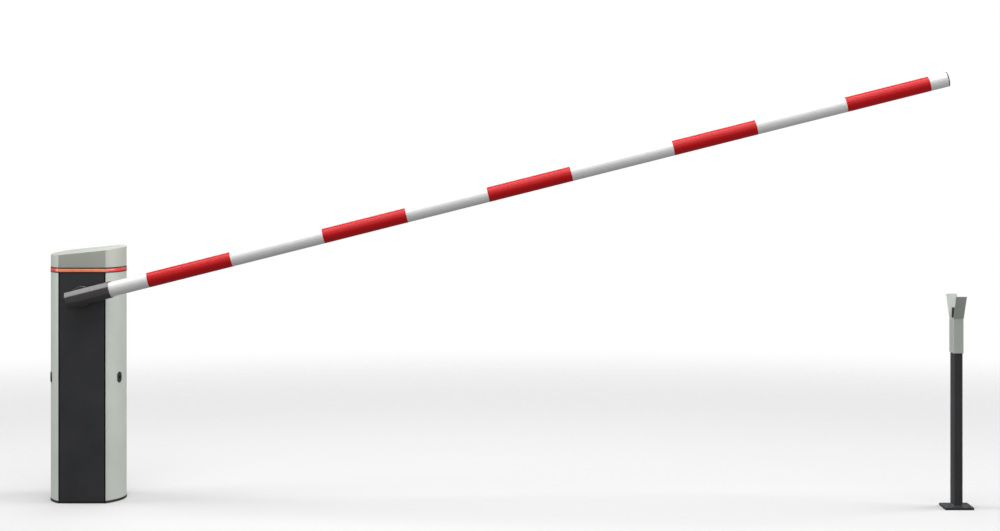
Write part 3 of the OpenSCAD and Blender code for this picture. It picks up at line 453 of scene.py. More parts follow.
ROOF_X, ROOF_Y = 0.1, 0.032
CAP_WALL = 3 * MM
CAP_EDGE = 1.6 * MM
cap_base = seal_high.z


def roof(outline):
    """Height of the slanted roof over each point of an outline: it rises to the right and to the back."""
    return ROOF_X * outline[:, 0] + ROOF_Y * outline[:, 1]


ROOF_Z = cap_high.z - roof(cabinet_outline(0)).max()


def cap_shell():
    """An upturned cup: inner roof, inner wall, rim, outer wall, and a rounded edge up to the roof."""
    inner, outer = cabinet_outline(-CAP_WALL), cabinet_outline(0)
    rim = 0.6 * MM
    rings = [at_height(inner, ROOF_Z + roof(inner) - CAP_WALL), at_height(inner, cap_base)]
    rings += [at_height(cabinet_outline(-rim), cap_base), at_height(outer, cap_base + rim)]
    for turn in np.linspace(0, math.pi / 2, 7):
        edge = cabinet_outline(CAP_EDGE * (math.cos(turn) - 1))
        rings.append(at_height(edge, ROOF_Z + roof(edge) - CAP_EDGE * (1 - math.sin(turn))))
    return loft("slanted_cap", np.stack(rings))


def moulded_plastic(name, face, shade, roughness, grain_mm=1.2, relief=0.04):
    """Injection-moulded plastic: an even colour with a fine spark-eroded grain that softens its shine."""
    resin = bpy.data.materials.new(name)
    resin.use_nodes = True
    tree = resin.node_tree
    shader = tree.nodes["Principled BSDF"]
    shader.inputs["Roughness"].default_value = roughness
    place = add(tree, "ShaderNodeTexCoord").outputs["Object"]
    grain = add(tree, "ShaderNodeTexVoronoi", {"Vector": place, "Scale": 1000 / grain_mm})
    drift = add(tree, "ShaderNodeTexNoise", {"Vector": place, "Scale": 14.0, "Detail": 3.0})
    tone = add(tree, "ShaderNodeMix", {0: drift.outputs["Fac"], 6: colour(shade), 7: colour(face)},
               data_type="RGBA")
    tree.links.new(tone.outputs[2], shader.inputs["Base Color"])
    bump = add(tree, "ShaderNodeBump", {"Height": grain.outputs["Distance"], "Strength": relief,
                                        "Distance": MM})
    tree.links.new(bump.outputs[0], shader.inputs["Normal"])
    return resin


cap_resin = moulded_plastic("light_grey_ASA_cap", "#B7BBB2", "#AEB2A8", 0.46)
dress(cap_shell(), cap_resin, "cabinet", ("top_cap",), sharp=30)


def turned(name, profile, origin, axis, side, steps=64, wrap=False):
    """A shape turned on a lathe: each profile point is a distance along the axis and a radius round it."""
    axis, side = np.array(axis, float), np.array(side, float)
    turn = np.linspace(0, 2 * math.pi, steps, endpoint=False)
    spokes = np.cos(turn)[:, None] * side + np.sin(turn)[:, None] * np.cross(axis, side)
    profile = np.array(profile, float)
    rings = np.array(origin) + profile[:, 0, None, None] * axis + profile[:, 1, None, None] * spokes
    return loft(name, rings, wrap)


X, Y, Z = np.eye(3)
boss_x, boss_y = 60 * MM, 85 * MM
for k, (sx, sy) in enumerate(((1, 1), (-1, 1), (-1, -1), (1, -1))):
    top = ROOF_Z + ROOF_X * sx * boss_x + ROOF_Y * sy * boss_y - CAP_WALL - 1 * MM
    boss = turned(f"cap_boss_{k + 1}", [(0, 7 * MM), (top - cap_low.z, 8 * MM)],
                  (sx * boss_x, sy * boss_y, cap_low.z), Z, X, steps=32)
    dress(boss, cap_resin, "cabinet", edge=0.5 * MM)

# ---- Boom ------------------------------------------------------------------------------------------------
# An extruded aluminium tube with a glossy white coat. Five bands of red reflective film are wrapped round it
# and lie a hair proud. A moulded plug closes the far end.

pivot_joint = next(j for j in frame["joints"] if j["name"] == "boom_pivot")
PIVOT = np.array(pivot_joint["pos_m"])
LIFT = math.radians(14.11)
ALONG = np.array([math.cos(LIFT), 0, math.sin(LIFT)])
ACROSS = np.array([-math.sin(LIFT), 0, math.cos(LIFT)])
BOOM_R = 25.5 * MM
TUBE_START, TUBE_END = -30 * MM, 3095 * MM
TUBE_WALL = 2 * MM
BAND_LENGTH = 296 * MM
BAND_STARTS = [254 * MM, 877 * MM, 1463 * MM, 2121 * MM, 2736 * MM]
FILM = 0.3 * MM


def gloss_paint(name, face, shade, roughness, coat):
    """Wet-sprayed gloss enamel over a smooth tube: an even colour under a clear, sharp reflection, with faint
    long-wave waviness from the extrusion."""
    paint = bpy.data.materials.new(name)
    paint.use_nodes = True
    tree = paint.node_tree
    shader = tree.nodes["Principled BSDF"]
    shader.inputs["Roughness"].default_value = roughness
    shader.inputs["Coat Weight"].default_value = coat
    shader.inputs["Coat Roughness"].default_value = 0.08
    place = add(tree, "ShaderNodeTexCoord").outputs["Object"]
    long_wave = add(tree, "ShaderNodeTexNoise", {"Vector": place, "Scale": 22.0, "Detail": 2.0})
    tone = add(tree, "ShaderNodeMix", {0: long_wave.outputs["Fac"], 6: colour(shade), 7: colour(face)},
               data_type="RGBA")
    tree.links.new(tone.outputs[2], shader.inputs["Base Color"])
    bump = add(tree, "ShaderNodeBump", {"Height": long_wave.outputs["Fac"], "Strength": 0.05,
                                        "Distance": 2 * MM})
    tree.links.new(bump.outputs[0], shader.inputs["Normal"])
    return paint


def reflective_film(name, face, shade):
    """Glass-bead reflective sheeting: saturated red under a clear skin, with a honeycomb of sealed cells. The
    cells are drawn 3 mm wide, as they are on such film."""
    film = bpy.data.materials.new(name)
    film.use_nodes = True
    tree = film.node_tree
    shader = tree.nodes["Principled BSDF"]
    shader.inputs["Roughness"].default_value = 0.4
    shader.inputs["Coat Weight"].default_value = 0.15
    shader.inputs["Coat Roughness"].default_value = 0.1
    shader.inputs["Specular IOR Level"].default_value = 0.3
    place = add(tree, "ShaderNodeTexCoord").outputs["Object"]
    cells = add(tree, "ShaderNodeTexVoronoi", {"Vector": place, "Scale": 333.0}, feature="DISTANCE_TO_EDGE")
    seam = add(tree, "ShaderNodeMapRange", {"Value": cells.outputs["Distance"], "From Max": 0.12})
    tone = add(tree, "ShaderNodeMix", {0: seam.outputs[0], 6: colour(shade), 7: colour(face)},
               data_type="RGBA")
    tree.links.new(tone.outputs[2], shader.inputs["Base Color"])
    bump = add(tree, "ShaderNodeBump", {"Height": seam.outputs[0], "Strength": 0.03, "Distance": 0.2 * MM})
    tree.links.new(bump.outputs[0], shader.inputs["Normal"])
    return film


white_gloss = gloss_paint("white_gloss_enamel", "#F0F0F0", "#EAEAEA", 0.25, 0.6)
red_film = reflective_film("red_reflective_film", "#D2000C", "#BC0009")

tube = turned("white_boom_tube", [(TUBE_START, BOOM_R), (TUBE_END, BOOM_R), (TUBE_END, BOOM_R - TUBE_WALL),
                                  (TUBE_START, BOOM_R - TUBE_WALL)], PIVOT, ALONG, ACROSS, 128, wrap=True)
dress(tube, white_gloss, "boom", ("boom_tube",), edge=0.3 * MM)
for k, start in enumerate(BAND_STARTS):
    under, over, end = BOOM_R + 0.02 * MM, BOOM_R + FILM, start + BAND_LENGTH
    band = turned(f"red_band_{k + 1}", [(start, under), (start + 0.1 * MM, over), (end - 0.1 * MM, over),
                                        (end, under)], PIVOT, ALONG, ACROSS, 128, wrap=True)
    dress(band, red_film, "boom", ("boom_bands",) if k == 0 else (), sharp=20)

plug_resin = moulded_plastic("dark_grey_polyethylene_plug", "#4A4B4C", "#3F4041", 0.5)
PLUG_DEPTH, PLUG_RIM, PLUG_EDGE = 25 * MM, 4 * MM, 1.5 * MM
turn = np.linspace(0, math.pi / 2, 7)
PLUG_R = BOOM_R - TUBE_WALL - 0.1 * MM
plug_profile = [(TUBE_END - PLUG_DEPTH, PLUG_R - 1.1 * MM), (TUBE_END - PLUG_DEPTH + 3 * MM, PLUG_R),
                (TUBE_END, PLUG_R), (TUBE_END + 0.05 * MM, BOOM_R)]
plug_profile += [(TUBE_END + PLUG_RIM - PLUG_EDGE * (1 - math.sin(t)), BOOM_R - PLUG_EDGE * (1 - math.cos(t)))
                 for t in turn]
plug = turned("boom_end_plug", plug_profile, PIVOT, ALONG, ACROSS, 96)
dress(plug, plug_resin, "boom", ("boom_end_cap",), sharp=40)

# ---- Boom clamp ------------------------------------------------------------------------------------------
# A channel of bent aluminium plate, half an octagon in section, pulls the tube against a flat back plate. Four
# screws hold it from behind. A turned hub joins the plate to the shaft. All of it is anodised graphite grey.


def rounded_outline(corners, radii, inset=0.0, steps=6):
    """A closed outline with an arc at each corner. An arc keeps its centre when the outline is inset, so the
    outlines of one shape at several insets are parallel and have as many points."""
    corners = np.array(corners, float)
    radii = np.broadcast_to(np.array(radii, float), len(corners))
    back = corners - np.roll(corners, 1, axis=0)
    ahead = np.roll(corners, -1, axis=0) - corners
    back /= np.linalg.norm(back, axis=1)[:, None]
    ahead /= np.linalg.norm(ahead, axis=1)[:, None]
    bend = np.arctan2(back[:, 0] * ahead[:, 1] - back[:, 1] * ahead[:, 0], (back * ahead).sum(axis=1))
    hand = np.sign(bend)
    start = corners - back * (radii * np.tan(np.abs(bend) / 2))[:, None]
    inward = np.stack([-back[:, 1], back[:, 0]], axis=1) * hand[:, None]
    centre = start + inward * radii[:, None]
    turn = bend[:, None] * np.linspace(0, 1, steps)
    out_x = -inward[:, 0, None] * np.cos(turn) + inward[:, 1, None] * np.sin(turn)
    out_y = -inward[:, 0, None] * np.sin(turn) - inward[:, 1, None] * np.cos(turn)
    reach = (radii - hand * inset)[:, None]
    across, up = centre[:, 0, None] + reach * out_x, centre[:, 1, None] + reach * out_y
    return np.stack([across, up], axis=2).reshape(-1, 2)


def metal(name, face, shade, roughness, grain_mm, lay=(1, 1, 1), relief=0.05, spread=0.12):
    """Bare or plated metal. A noise drawn out across its lay turns into fine tool or rolling marks, which
    vary the colour, the shine and the height a little."""
    bare = bpy.data.materials.new(name)
    bare.use_nodes = True
    tree = bare.node_tree
    shader = tree.nodes["Principled BSDF"]
    shader.inputs["Metallic"].default_value = 1.0
    place = add(tree, "ShaderNodeTexCoord").outputs["Object"]
    drawn = add(tree, "ShaderNodeMapping", {"Vector": place, "Scale": lay})
    marks = add(tree, "ShaderNodeTexNoise", {"Vector": drawn.outputs[0], "Scale": 1000 / grain_mm,
                                             "Detail": 4.0})
    tone = add(tree, "ShaderNodeMix", {0: marks.outputs["Fac"], 6: colour(shade), 7: colour(face)},
               data_type="RGBA")
    shine = add(tree, "ShaderNodeMapRange", {"Value": marks.outputs["Fac"], "From Min": 0.3, "From Max": 0.7,
                                             "To Min": roughness - spread / 2,
                                             "To Max": roughness + spread / 2})
    bump = add(tree, "ShaderNodeBump", {"Height": marks.outputs["Fac"], "Strength": relief, "Distance": MM})
    tree.links.new(tone.outputs[2], shader.inputs["Base Color"])
    tree.links.new(shine.outputs[0], shader.inputs["Roughness"])
    tree.links.new(bump.outputs[0], shader.inputs["Normal"])
    return bare


graphite = metal("graphite_anodised_aluminium", "#6E6C6D", "#5F5D5F", 0.36, 3, relief=0.02)
CLAMP_A = BOOM_R + 0.3 * MM + 2.5 * MM
CLAMP_WALL = 2.5 * MM
CLAMP_X = np.array([-37, 118]) * MM
BACK_Y = BOOM_R + 0.3 * MM
BACK_T = 8 * MM


def in_boom(x, section):
    """Points of a section across the boom, given as depth and height, at a distance along it."""
    return PIVOT + x * ALONG + section[:, 0, None] * Y + section[:, 1, None] * ACROSS


def clamp_section():
    """The bent plate: outside round the octagon's front half, then back along the inside, with a lip that
    thickens it for the screws where it meets the back plate."""
    outer, inner = CLAMP_A, CLAMP_A - CLAMP_WALL
    facet, inner_facet = outer * math.tan(math.pi / 8), inner * math.tan(math.pi / 8)
    lip, lip_y = 9.3 * MM, BACK_Y - 7.5 * MM
    half = [(BACK_Y, outer), (-facet, outer), (-outer, facet)]
    inside = [(-inner, inner_facet), (-inner_facet, inner), (lip_y - 3 * MM, inner), (lip_y, outer - lip),
              (BACK_Y, outer - lip)]
    top = half + [(y, -z) for y, z in half[::-1]]
    bottom = [(y, -z) for y, z in inside[::-1]] + inside
    corners = np.array(top + bottom)
    bends = [0.5, 4, 4, 4, 4, 0.5, 0.5, 1, 1, 1.5, 1.5, 1.5, 1.5, 1, 1, 0.5]
    return rounded_outline(corners, np.array(bends) * MM)


clamp = loft("bent_boom_clamp", np.stack([in_boom(x, clamp_section()) for x in CLAMP_X]))
dress(clamp, graphite, "boom", ("boom_clamp",), edge=0.5 * MM)
eased_copy("boom_back_plate", "clamp_back_plate", 1.0 * MM, graphite)
eased_copy("boom_hub", "turned_boom_hub", 1.2 * MM, graphite)
eased_copy("shaft_seal_collar", "seal_collar_ring", 2.5 * MM, graphite, steps=4)

# ---- Boom rest -------------------------------------------------------------------------------------------
# A rectangular steel tube welded to a foot plate, charcoal coated. A light grey sleeve slides on it and ends
# in two prongs that lean apart, with a rubber pad between them for the boom.

foot_plate_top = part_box("post_foot")[1].z
tube_low, tube_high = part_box("post_tube")
sleeve_low, sleeve_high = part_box("fork")
pad_low, pad_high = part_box("rest_pad")
POST = np.array([(tube_low.x + tube_high.x) / 2, (tube_low.y + tube_high.y) / 2])
SLEEVE_TOP = pad_low.z
SLEEVE_T = 2 * MM


def rectangle(width, depth, radius, inset=0.0, steps=6):
    """A rounded rectangle round the post's centre."""
    w, d = width / 2, depth / 2
    return rounded_outline([(-w, -d), (w, -d), (w, d), (-w, d)], radius, inset, steps) + POST


def box_tube(name, width, depth, wall, radius, low, high):
    """A cold-drawn rectangular tube with rounded corners, standing on end."""
    outer = rectangle(width, depth, radius)
    inner = rectangle(width, depth, radius, wall)
    return loft(name, np.stack([at_height(outer, low), at_height(outer, high), at_height(inner, high),
                                at_height(inner, low)]), wrap=True)


POST_W, POST_D = tube_high.x - tube_low.x, tube_high.y - tube_low.y
post = box_tube("post_steel_tube", POST_W, POST_D, 2.5 * MM, 4 * MM, tube_low.z, tube_high.z)
dress(post, dark_coat, "cabinet", ("post_tube",), edge=0.3 * MM)
eased_copy("post_foot", "post_foot_plate", 1.0 * MM, dark_coat)


def weld_bead(name, outline_at, z, leg, ripple_mm=3.0):
    """A fillet weld round a tube: a quarter-round bead whose size pulses along its run, like ripples."""
    inner = outline_at(0.0)
    run = np.concatenate([[0], np.cumsum(np.linalg.norm(np.diff(inner, axis=0), axis=1))])
    pulse = 1 + 0.12 * np.cos(2 * math.pi * run / (ripple_mm * MM))
    turn = np.linspace(0, math.pi / 2, 6)
    outward = outline_at(-leg) - inner
    rings = [np.column_stack([inner + outward * (math.cos(t) * pulse)[:, None],
                              z + leg * math.sin(t) * pulse]) for t in turn]
    rings.append(np.column_stack([inner, np.full(len(inner), z)]))
    return loft(name, np.stack(rings), wrap=True)


def dense_rectangle(inset):
    """The post's outline with enough points along its sides for the weld's ripples."""
    base = rectangle(POST_W, POST_D, 4 * MM, inset)
    ends = np.roll(base, -1, axis=0)
    share = np.linspace(0, 1, 8, endpoint=False)[:, None]
    return np.concatenate([a + (b - a) * share for a, b in zip(base, ends)])


bead = weld_bead("foot_weld", dense_rectangle, foot_plate_top, 4 * MM)
dress(bead, dark_coat, "cabinet", sharp=70)

SLEEVE_W, SLEEVE_D = sleeve_high.x - sleeve_low.x, 65 * MM
sleeve = box_tube("grey_sleeve", SLEEVE_W, SLEEVE_D, SLEEVE_T, 2.5 * MM, sleeve_low.z, SLEEVE_TOP - 0.2 * MM)
dress(sleeve, light_coat, "fork", ("fork",), edge=0.5 * MM)
lid_plan = rectangle(SLEEVE_W, SLEEVE_D, 2.5 * MM, 0.3 * MM)
lid = upright("sleeve_lid", lid_plan, SLEEVE_TOP - 4 * MM, SLEEVE_TOP)
dress(lid, light_coat, "fork", edge=0.4 * MM)
PRONG_T, PRONG_LEAN, PRONG_FLARE = 3 * MM, 42 * MM, 1 * MM
prong_foot = SLEEVE_TOP - 0.1 * MM
for side, word in ((-1, "front"), (1, "back")):
    rise = np.linspace(0, 1, 14)
    lean = SLEEVE_D / 2 + PRONG_LEAN * rise
    half = SLEEVE_W / 2 + PRONG_FLARE * rise
    height = prong_foot + rise * (sleeve_high.z - prong_foot)
    rings = []
    for z, out, w in zip(height, lean, half):
        section = rounded_outline([(-w, out - PRONG_T), (w, out - PRONG_T), (w, out), (-w, out)], 0.9 * MM)
        rings.append(at_height(section * [1, side] + POST, z))
    prong = loft(f"{word}_prong", np.stack(rings))
    dress(prong, light_coat, "fork", edge=0.6 * MM, sharp=50)


def pad_block():
    """A moulded rubber pad: a rounded block with a flat top. The real pad's top dips by a millimetre where
    the boom lies; that dip is not drawn.
    """
    w, d = (pad_high.x - pad_low.x) / 2, (pad_high.y - pad_low.y) / 2
    edge = 2 * MM
    rings = []
    for inset, z in [(edge, pad_low.z), (0, pad_low.z + edge), (0, pad_high.z - edge)]:
        rings.append(at_height(rectangle(2 * w, 2 * d, 3 * MM, inset, 8), z))
    for t in np.linspace(0.2, math.pi / 2, 5):
        rings.append(at_height(rectangle(2 * w, 2 * d, 3 * MM, edge * (1 - math.cos(t)), 8),
                               pad_high.z - edge * (1 - math.sin(t))))
    return loft("moulded_rest_pad", np.stack(rings))


dress(pad_block(), rubber, "fork", ("rest_pad",), sharp=50)

# ---- Screws and locks --------------------------------------------------------------------------------------
# Zinc-plated socket screws behind the boom's plate and behind the sleeve, and more under the head plate. Each
# door has a black oval lock case with a keyed plug.


zinc = metal("zinc_plated_steel", "#C9CCD0", "#A9AEB4", 0.38, 14)
turned_steel = metal("turned_steel", "#B4B7BA", "#989B9F", 0.26, 2, lay=(1, 0.04, 1))
black_resin = moulded_plastic("black_polyamide", "#111112", "#0B0B0C", 0.5)


def socket_screw(name, place, axis, side, shank, head, key, body, material=zinc):
    """A cap screw: shank, chamfered head and a hexagonal socket. Shank and head are (radius, length); the key
    is the socket's width across flats. A hexagon's radius at an angle is its apothem over the cosine of the
    angle to the nearest flat's middle."""
    turn = np.linspace(0, 2 * math.pi, 48, endpoint=False)
    hexagon = key / 2 / np.cos((turn + math.pi / 6) % (math.pi / 3) - math.pi / 6)
    (shank_r, shank_len), (head_r, head_h) = shank, head
    chamfer = 0.12 * head_r
    steps = [(-shank_len, shank_r), (0, shank_r), (0, head_r), (head_h - chamfer, head_r),
             (head_h, head_r - chamfer), (head_h, hexagon), (0.45 * head_h, hexagon)]
    axis, side = np.array(axis, float), np.array(side, float)
    spokes = np.cos(turn)[:, None] * side + np.sin(turn)[:, None] * np.cross(axis, side)
    rings = [np.array(place) + along * axis + np.broadcast_to(radius, 48)[:, None] * spokes
             for along, radius in steps]
    return dress(loft(name, np.stack(rings)), material, body)


SCREW_INSET = 15 * MM
screw_rows = (CLAMP_X[0] + SCREW_INSET, CLAMP_X[1] - SCREW_INSET)
for k, (x, z) in enumerate([(x, z) for x in screw_rows for z in (-1, 1)]):
    head_place = PIVOT + x * ALONG + (BACK_Y + BACK_T) * Y + z * (CLAMP_A - 4.6 * MM) * ACROSS
    piece = socket_screw(f"clamp_screw_{k + 1}", head_place, Y, ALONG, (2.5 * MM, 14 * MM),
                         (4.5 * MM, 4 * MM), 4 * MM, "boom")
    if k == 0:
        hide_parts("clamp_screws")

for k, z in enumerate((sleeve_low.z + 20 * MM, SLEEVE_TOP - 45 * MM)):
    piece = socket_screw(f"sleeve_screw_{k + 1}", (POST[0], POST[1] + SLEEVE_D / 2, z), Y, X,
                         (3 * MM, 2.2 * MM), (7 * MM, 5 * MM), 6 * MM, "fork")
    if k == 0:
        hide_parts("sleeve_screws")

plate_under = door_high.z + 0.5 * MM
for k, (sx, sy) in enumerate(((1, 1), (-1, 1), (-1, -1), (1, -1))):
    piece = socket_screw(f"cap_screw_{k + 1}", (sx * boss_x, sy * boss_y, plate_under), -Z, X,
                         (3 * MM, 23 * MM), (5 * MM, 4 * MM), 4 * MM, "cabinet")
    if k == 0:
        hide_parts("cap_screws")

black_zinc = metal("black_zinc_die_casting", "#2A292B", "#1C1B1D", 0.4, 3)
for word in ("right", "left"):
    eased_copy(f"lock_{word}", f"{word}_lock_case", 0.9 * MM, black_resin, steps=3)
    eased_copy(f"lock_core_{word}", f"{word}_lock_plug", 0.3 * MM, black_zinc)

# ---- Chassis and drive line --------------------------------------------------------------------------------
# Inside: zinc-plated angle posts and plates, two flanged bearings of grey iron, a turned shaft with a lever,
# a rod with two eyes and a turnbuckle, a crank, a cast worm gearbox, its finned motor and the big spring.

cast_iron = metal("grey_cast_iron", "#6E7072", "#55575A", 0.55, 3, relief=0.15)
cast_aluminium = metal("sand_cast_aluminium", "#B0B2B3", "#8F9193", 0.5, 2.2, relief=0.2)
spring_steel = metal("oiled_spring_steel", "#4B4F55", "#33363B", 0.3, 4, relief=0.04)
blue_enamel = powder_coat("blue_grey_motor_enamel", "#4A5966", "#3C4A56", 0.35)
for node, name, edge, material, slot in (
        ("chassis_frame", "angle_post_chassis", 0.5, zinc, "zinc_steel"),
        ("front_bearing_plate", "front_bearing_plate_sheet", 0.6, zinc, "zinc_steel"),
        ("rear_bearing_plate", "rear_bearing_plate_sheet", 0.6, zinc, "zinc_steel"),
        ("drive_plate", "drive_plate_sheet", 0.6, zinc, "zinc_steel"),
        ("front_bearing", "front_flange_bearing", 1.5, cast_iron, "cast_alloy"),
        ("rear_bearing", "rear_flange_bearing", 1.5, cast_iron, "cast_alloy"),
        ("main_shaft", "turned_main_shaft", 1.0, turned_steel, "bright_steel"),
        ("shaft_lever", "forged_shaft_lever", 0.8, turned_steel, "bright_steel"),
        ("lever_pin", "plated_lever_pin", 0.5, zinc, "zinc_steel"),
        ("stop_buffers", "rubber_stop_buffers", 1.5, rubber, "black_rubber"),
        ("spring_collar", "spring_drive_collar", 0.8, zinc, "zinc_steel"),
        ("sensor_flag", "cut_sensor_flag", 0.4, zinc, "bright_steel"),
        ("position_sensors", "slotted_sensors", 0.8, black_resin, "black_plastic"),
        ("output_shaft", "turned_output_shaft", 0.8, turned_steel, "bright_steel"),
        ("crank_arm", "forged_crank_arm", 0.8, zinc, "zinc_steel"),
        ("rod_ends", "threaded_rod_ends", 0.6, turned_steel, "bright_steel"),
        ("turnbuckle_body", "plated_turnbuckle", 0.8, zinc, "zinc_steel"),
        ("hinge_pins", "door_hinge_pins", 0.5, turned_steel, "bright_steel"),
        ("gearbox_housing", "cast_gearbox_case", 3.0, cast_aluminium, "cast_alloy"),
        ("motor_end_cap", "motor_fan_cowl", 3.0, black_resin, "black_plastic")):
    eased_copy(node, name, edge * MM, material)

case_low, case_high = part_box("gearbox_housing")
case_mid = (case_low + case_high) / 2
for k in range(6):
    turn = math.pi / 6 + k * math.pi / 3
    socket_screw(f"gearbox_lid_screw_{k + 1}", (36 * MM * math.cos(turn), case_high.y,
                                                case_mid.z + 36 * MM * math.sin(turn)), Y, X,
                 (2 * MM, 1 * MM), (4 * MM, 3 * MM), 3.5 * MM, "cabinet")


def finned_barrel(name, centre, radius, low, high, fins=30, depth=5 * MM, land=9 * MM):
    """A die-cast motor barrel: its radius waves with the angle to raise the fins, and is plain at both ends.
    A raised power of the wave gives narrow fins with round tips."""
    turn = np.linspace(0, 2 * math.pi, fins * 10, endpoint=False)
    wave = (0.5 + 0.5 * np.cos(fins * turn)) ** 1.6
    ribbed = radius - depth + depth * wave
    plain = np.full(len(turn), radius - 0.4 * MM)
    steps = [(low, plain), (low + land, plain), (low + land + 1 * MM, ribbed), (high - land - 1 * MM, ribbed),
             (high - land, plain), (high, plain)]
    rings = [np.column_stack([centre[0] + r * np.cos(turn), centre[1] + r * np.sin(turn),
                              np.full(len(turn), z)]) for z, r in steps]
    return loft(name, np.stack(rings))


motor_low, motor_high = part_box("motor_body")
MOTOR_FLANGE_R, MOTOR_R, FLANGE_T = 36 * MM, 32 * MM, 8 * MM
MOTOR = np.array([motor_low.x + MOTOR_FLANGE_R, motor_low.y + MOTOR_FLANGE_R])
barrel = finned_barrel("finned_motor_barrel", MOTOR, MOTOR_R, motor_low.z, motor_high.z - FLANGE_T)
dress(barrel, blue_enamel, "cabinet", ("motor_body",), sharp=50)
flange = turned("motor_flange", [(0, MOTOR_FLANGE_R), (FLANGE_T, MOTOR_FLANGE_R)],
                (*MOTOR, motor_high.z - FLANGE_T), Z, X)
dress(flange, blue_enamel, "cabinet", edge=1 * MM)
for k in range(4):
    turn = math.pi / 4 + k * math.pi / 2
    socket_screw(f"motor_flange_screw_{k + 1}", (MOTOR[0] + 32.5 * MM * math.cos(turn),
                                                 MOTOR[1] + 32.5 * MM * math.sin(turn),
                                                 motor_high.z - FLANGE_T), -Z, X,
                 (2 * MM, 1 * MM), (3 * MM, 3 * MM), 2.5 * MM, "cabinet")


def block(name, low, high, material, body, edge, sharp=35):
    """A rectangular block between two corners."""
    (x0, y0, z0), (x1, y1, z1) = low, high
    outline = np.array([(x0, y0), (x1, y0), (x1, y1), (x0, y1)])
    return dress(upright(name, outline, z0, z1), material, body, edge=edge, sharp=sharp)


box_z = motor_high.z - 110 * MM
box_y = MOTOR[1] + MOTOR_R - 6 * MM
block("motor_terminal_box", (MOTOR[0] - 18 * MM, box_y, box_z), (MOTOR[0] + 18 * MM, box_y + 16 * MM,
      box_z + 60 * MM), blue_enamel, "cabinet", 2 * MM)
block("motor_terminal_lid", (MOTOR[0] - 19 * MM, box_y + 16.2 * MM, box_z - 1 * MM),
      (MOTOR[0] + 19 * MM, box_y + 20 * MM, box_z + 61 * MM), black_resin, "cabinet",
      1.2 * MM)

spring_low, spring_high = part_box("balance_spring")
WIRE_R = 3.5 * MM
COIL_R = spring_high.x - WIRE_R
COIL_TURNS = 6


def helical_spring():
    """A round wire swept along a helix round the shaft. The frame at each step is the outward spoke, and the
    direction square to both the spoke and the wire's run."""
    turn = np.linspace(0, 2 * math.pi * COIL_TURNS, 48 * COIL_TURNS + 1)
    climb = (spring_high.y - spring_low.y - 2 * WIRE_R) / turn[-1]
    spoke = np.cos(turn)[:, None] * X + np.sin(turn)[:, None] * Z
    centre = np.array([0, spring_low.y + WIRE_R, PIVOT[2]]) + COIL_R * spoke + (climb * turn)[:, None] * Y
    run = COIL_R * (-np.sin(turn)[:, None] * X + np.cos(turn)[:, None] * Z) + climb * Y
    run /= np.linalg.norm(run, axis=1)[:, None]
    third = np.cross(run, spoke)
    round_wire = np.linspace(0, 2 * math.pi, 20, endpoint=False)
    rings = (centre[:, None, :] + WIRE_R * np.cos(round_wire)[None, :, None] * spoke[:, None, :]
             + WIRE_R * np.sin(round_wire)[None, :, None] * third[:, None, :])
    return loft("torsion_spring_coil", rings)


coil = helical_spring()
coil.data.materials.append(spring_steel)
coil.data.polygons.foreach_set("use_smooth", [True] * len(coil.data.polygons))
coil.data.set_sharp_from_angle(angle=math.radians(50))
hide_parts("balance_spring")
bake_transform(coil)

# ---- Electronics -------------------------------------------------------------------------------------------
# A control board on standoffs over a plated tray, a transformer on the floor plate, and a bracket with a
# terminal rail, a two-pole breaker and three cable glands.

solder_mask = gloss_paint("green_solder_mask", "#1E6A3C", "#155230", 0.35, 0.2)
board_green = moulded_plastic("green_terminal_resin", "#2E7D4A", "#266B3F", 0.4)
grey_resin = moulded_plastic("grey_polyamide", "#8E9296", "#7F8387", 0.45)
white_resin = moulded_plastic("white_breaker_resin", "#E2E4E1", "#D6D8D4", 0.4)
blue_resin = moulded_plastic("blue_relay_case", "#2A4E86", "#213F6E", 0.35)
can = metal("aluminium_can", "#C8CACC", "#B4B6B8", 0.3, 3)
for node, name, edge, material, slot in (
        ("board_tray", "plated_board_tray", 0.6, zinc, "zinc_steel"),
        ("control_board", "masked_control_board", 0.3, solder_mask, "board_green"),
        ("service_bracket", "plated_service_bracket", 0.5, zinc, "zinc_steel"),
        ("breaker", "two_pole_breaker", 0.8, white_resin, "white_plastic"),
        ("breaker_toggle", "breaker_rocker", 0.5, black_resin, "black_plastic"),
        ("cable_glands", "nylon_cable_glands", 0.6, black_resin, "black_plastic")):
    eased_copy(node, name, edge * MM, material)

board_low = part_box("control_board")[0]
face = board_low.y


def on_board(name, x, size, z, material, edge=0.6):
    """A block on the board's front: its left edge and height over the board's lower edge, in millimetres."""
    low = (x * MM, face - size[1] * MM, board_low.z + z * MM)
    high = ((x + size[0]) * MM, face, board_low.z + (z + size[2]) * MM)
    return block(name, low, high, material, "cabinet", edge * MM)


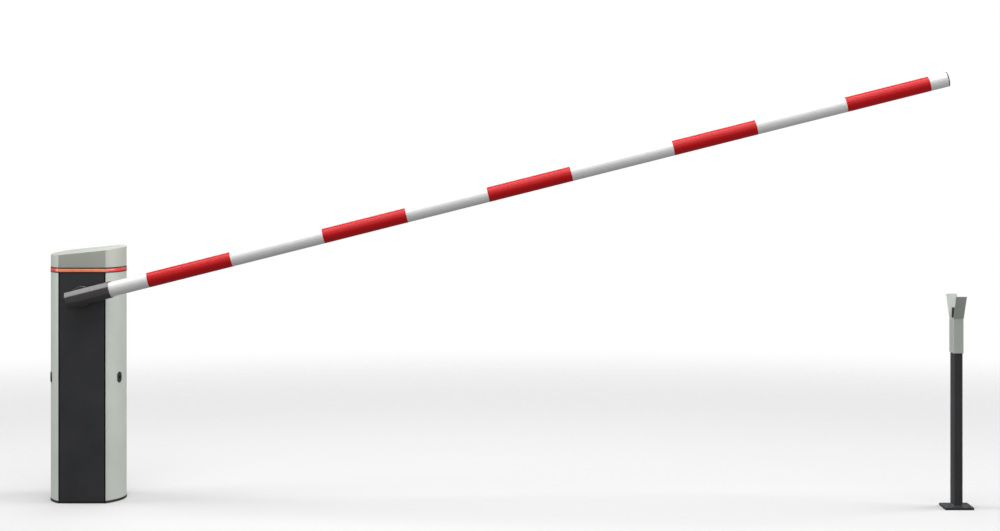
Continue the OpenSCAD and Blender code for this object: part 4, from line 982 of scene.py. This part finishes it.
for k, x in enumerate((-52, -30, -8)):
    relay = on_board(f"relay_{k + 1}", x, (18, 16, 28), 70, blue_resin, 1.0)
    if k == 0:
        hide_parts("board_components")
for k, x in enumerate((25, 45)):
    body_of_can = turned(f"capacitor_{k + 1}", [(0, 7.6 * MM), (1.5 * MM, 8 * MM), (2.5 * MM, 7.4 * MM),
                                                (3.5 * MM, 8 * MM), (24 * MM, 8 * MM)],
                         (x * MM, face, board_low.z + 82 * MM), -Y, X, steps=40)
    dress(body_of_can, black_resin if k else can, "cabinet", edge=0.8 * MM, sharp=50)
for k in range(12):
    on_board(f"board_terminal_{k + 1}", -54 + 9 * k, (8.8, 12, 12), 4, board_green, 0.5)
on_board("controller_chip", -20, (24, 3, 24), 32, black_resin, 0.4)
on_board("line_filter", 20, (30, 8, 20), 32, grey_resin, 1.0)

core_low, core_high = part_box("transformer")


def laminations(name):
    """The edges of the core's stacked sheets: fine dark lines across the stack, drawn 2 mm apart."""
    stack = metal(name, "#6A6763", "#4E4B48", 0.5, 6)
    tree = stack.node_tree
    place = add(tree, "ShaderNodeTexCoord").outputs["Object"]
    lines = add(tree, "ShaderNodeTexWave", {"Vector": place, "Scale": 80.0}, bands_direction="X")
    bump = add(tree, "ShaderNodeBump", {"Height": lines.outputs["Fac"], "Strength": 0.4,
                                        "Distance": 0.4 * MM})
    tree.links.new(bump.outputs[0], tree.nodes["Principled BSDF"].inputs["Normal"])
    return stack


core = block("laminated_core", (38 * MM, core_low.y, core_low.z), (core_high.x, core_high.y, core_high.z),
             laminations("laminated_iron"), "cabinet", 0.8 * MM)
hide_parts("transformer")
varnish = gloss_paint("varnished_winding_tape", "#C98A3C", "#A86F2C", 0.35, 0.4)
block("winding", (core_low.x, -36 * MM, core_low.z + 18 * MM), (38.2 * MM, 6 * MM, core_low.z + 54 * MM),
      varnish, "cabinet", 2.5 * MM)

rail_low, rail_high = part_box("terminal_blocks")
for k in range(8):
    x = rail_low.x + 7 * MM * k
    piece = block(f"terminal_{k + 1}", (x, rail_low.y, rail_low.z), (x + 6 * MM, rail_high.y, rail_high.z),
                  grey_resin if k % 4 else board_green, "cabinet", 0.8 * MM)
    if k == 0:
        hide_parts("terminal_blocks")
    for row, z in enumerate((rail_low.z + 10 * MM, rail_high.z - 10 * MM)):
        socket_screw(f"terminal_{k + 1}_screw_{row + 1}", (x + 3 * MM, rail_low.y, z), -Y, X,
                     (1.5 * MM, 1 * MM), (2.2 * MM, 0.8 * MM), 1.8 * MM, "cabinet")
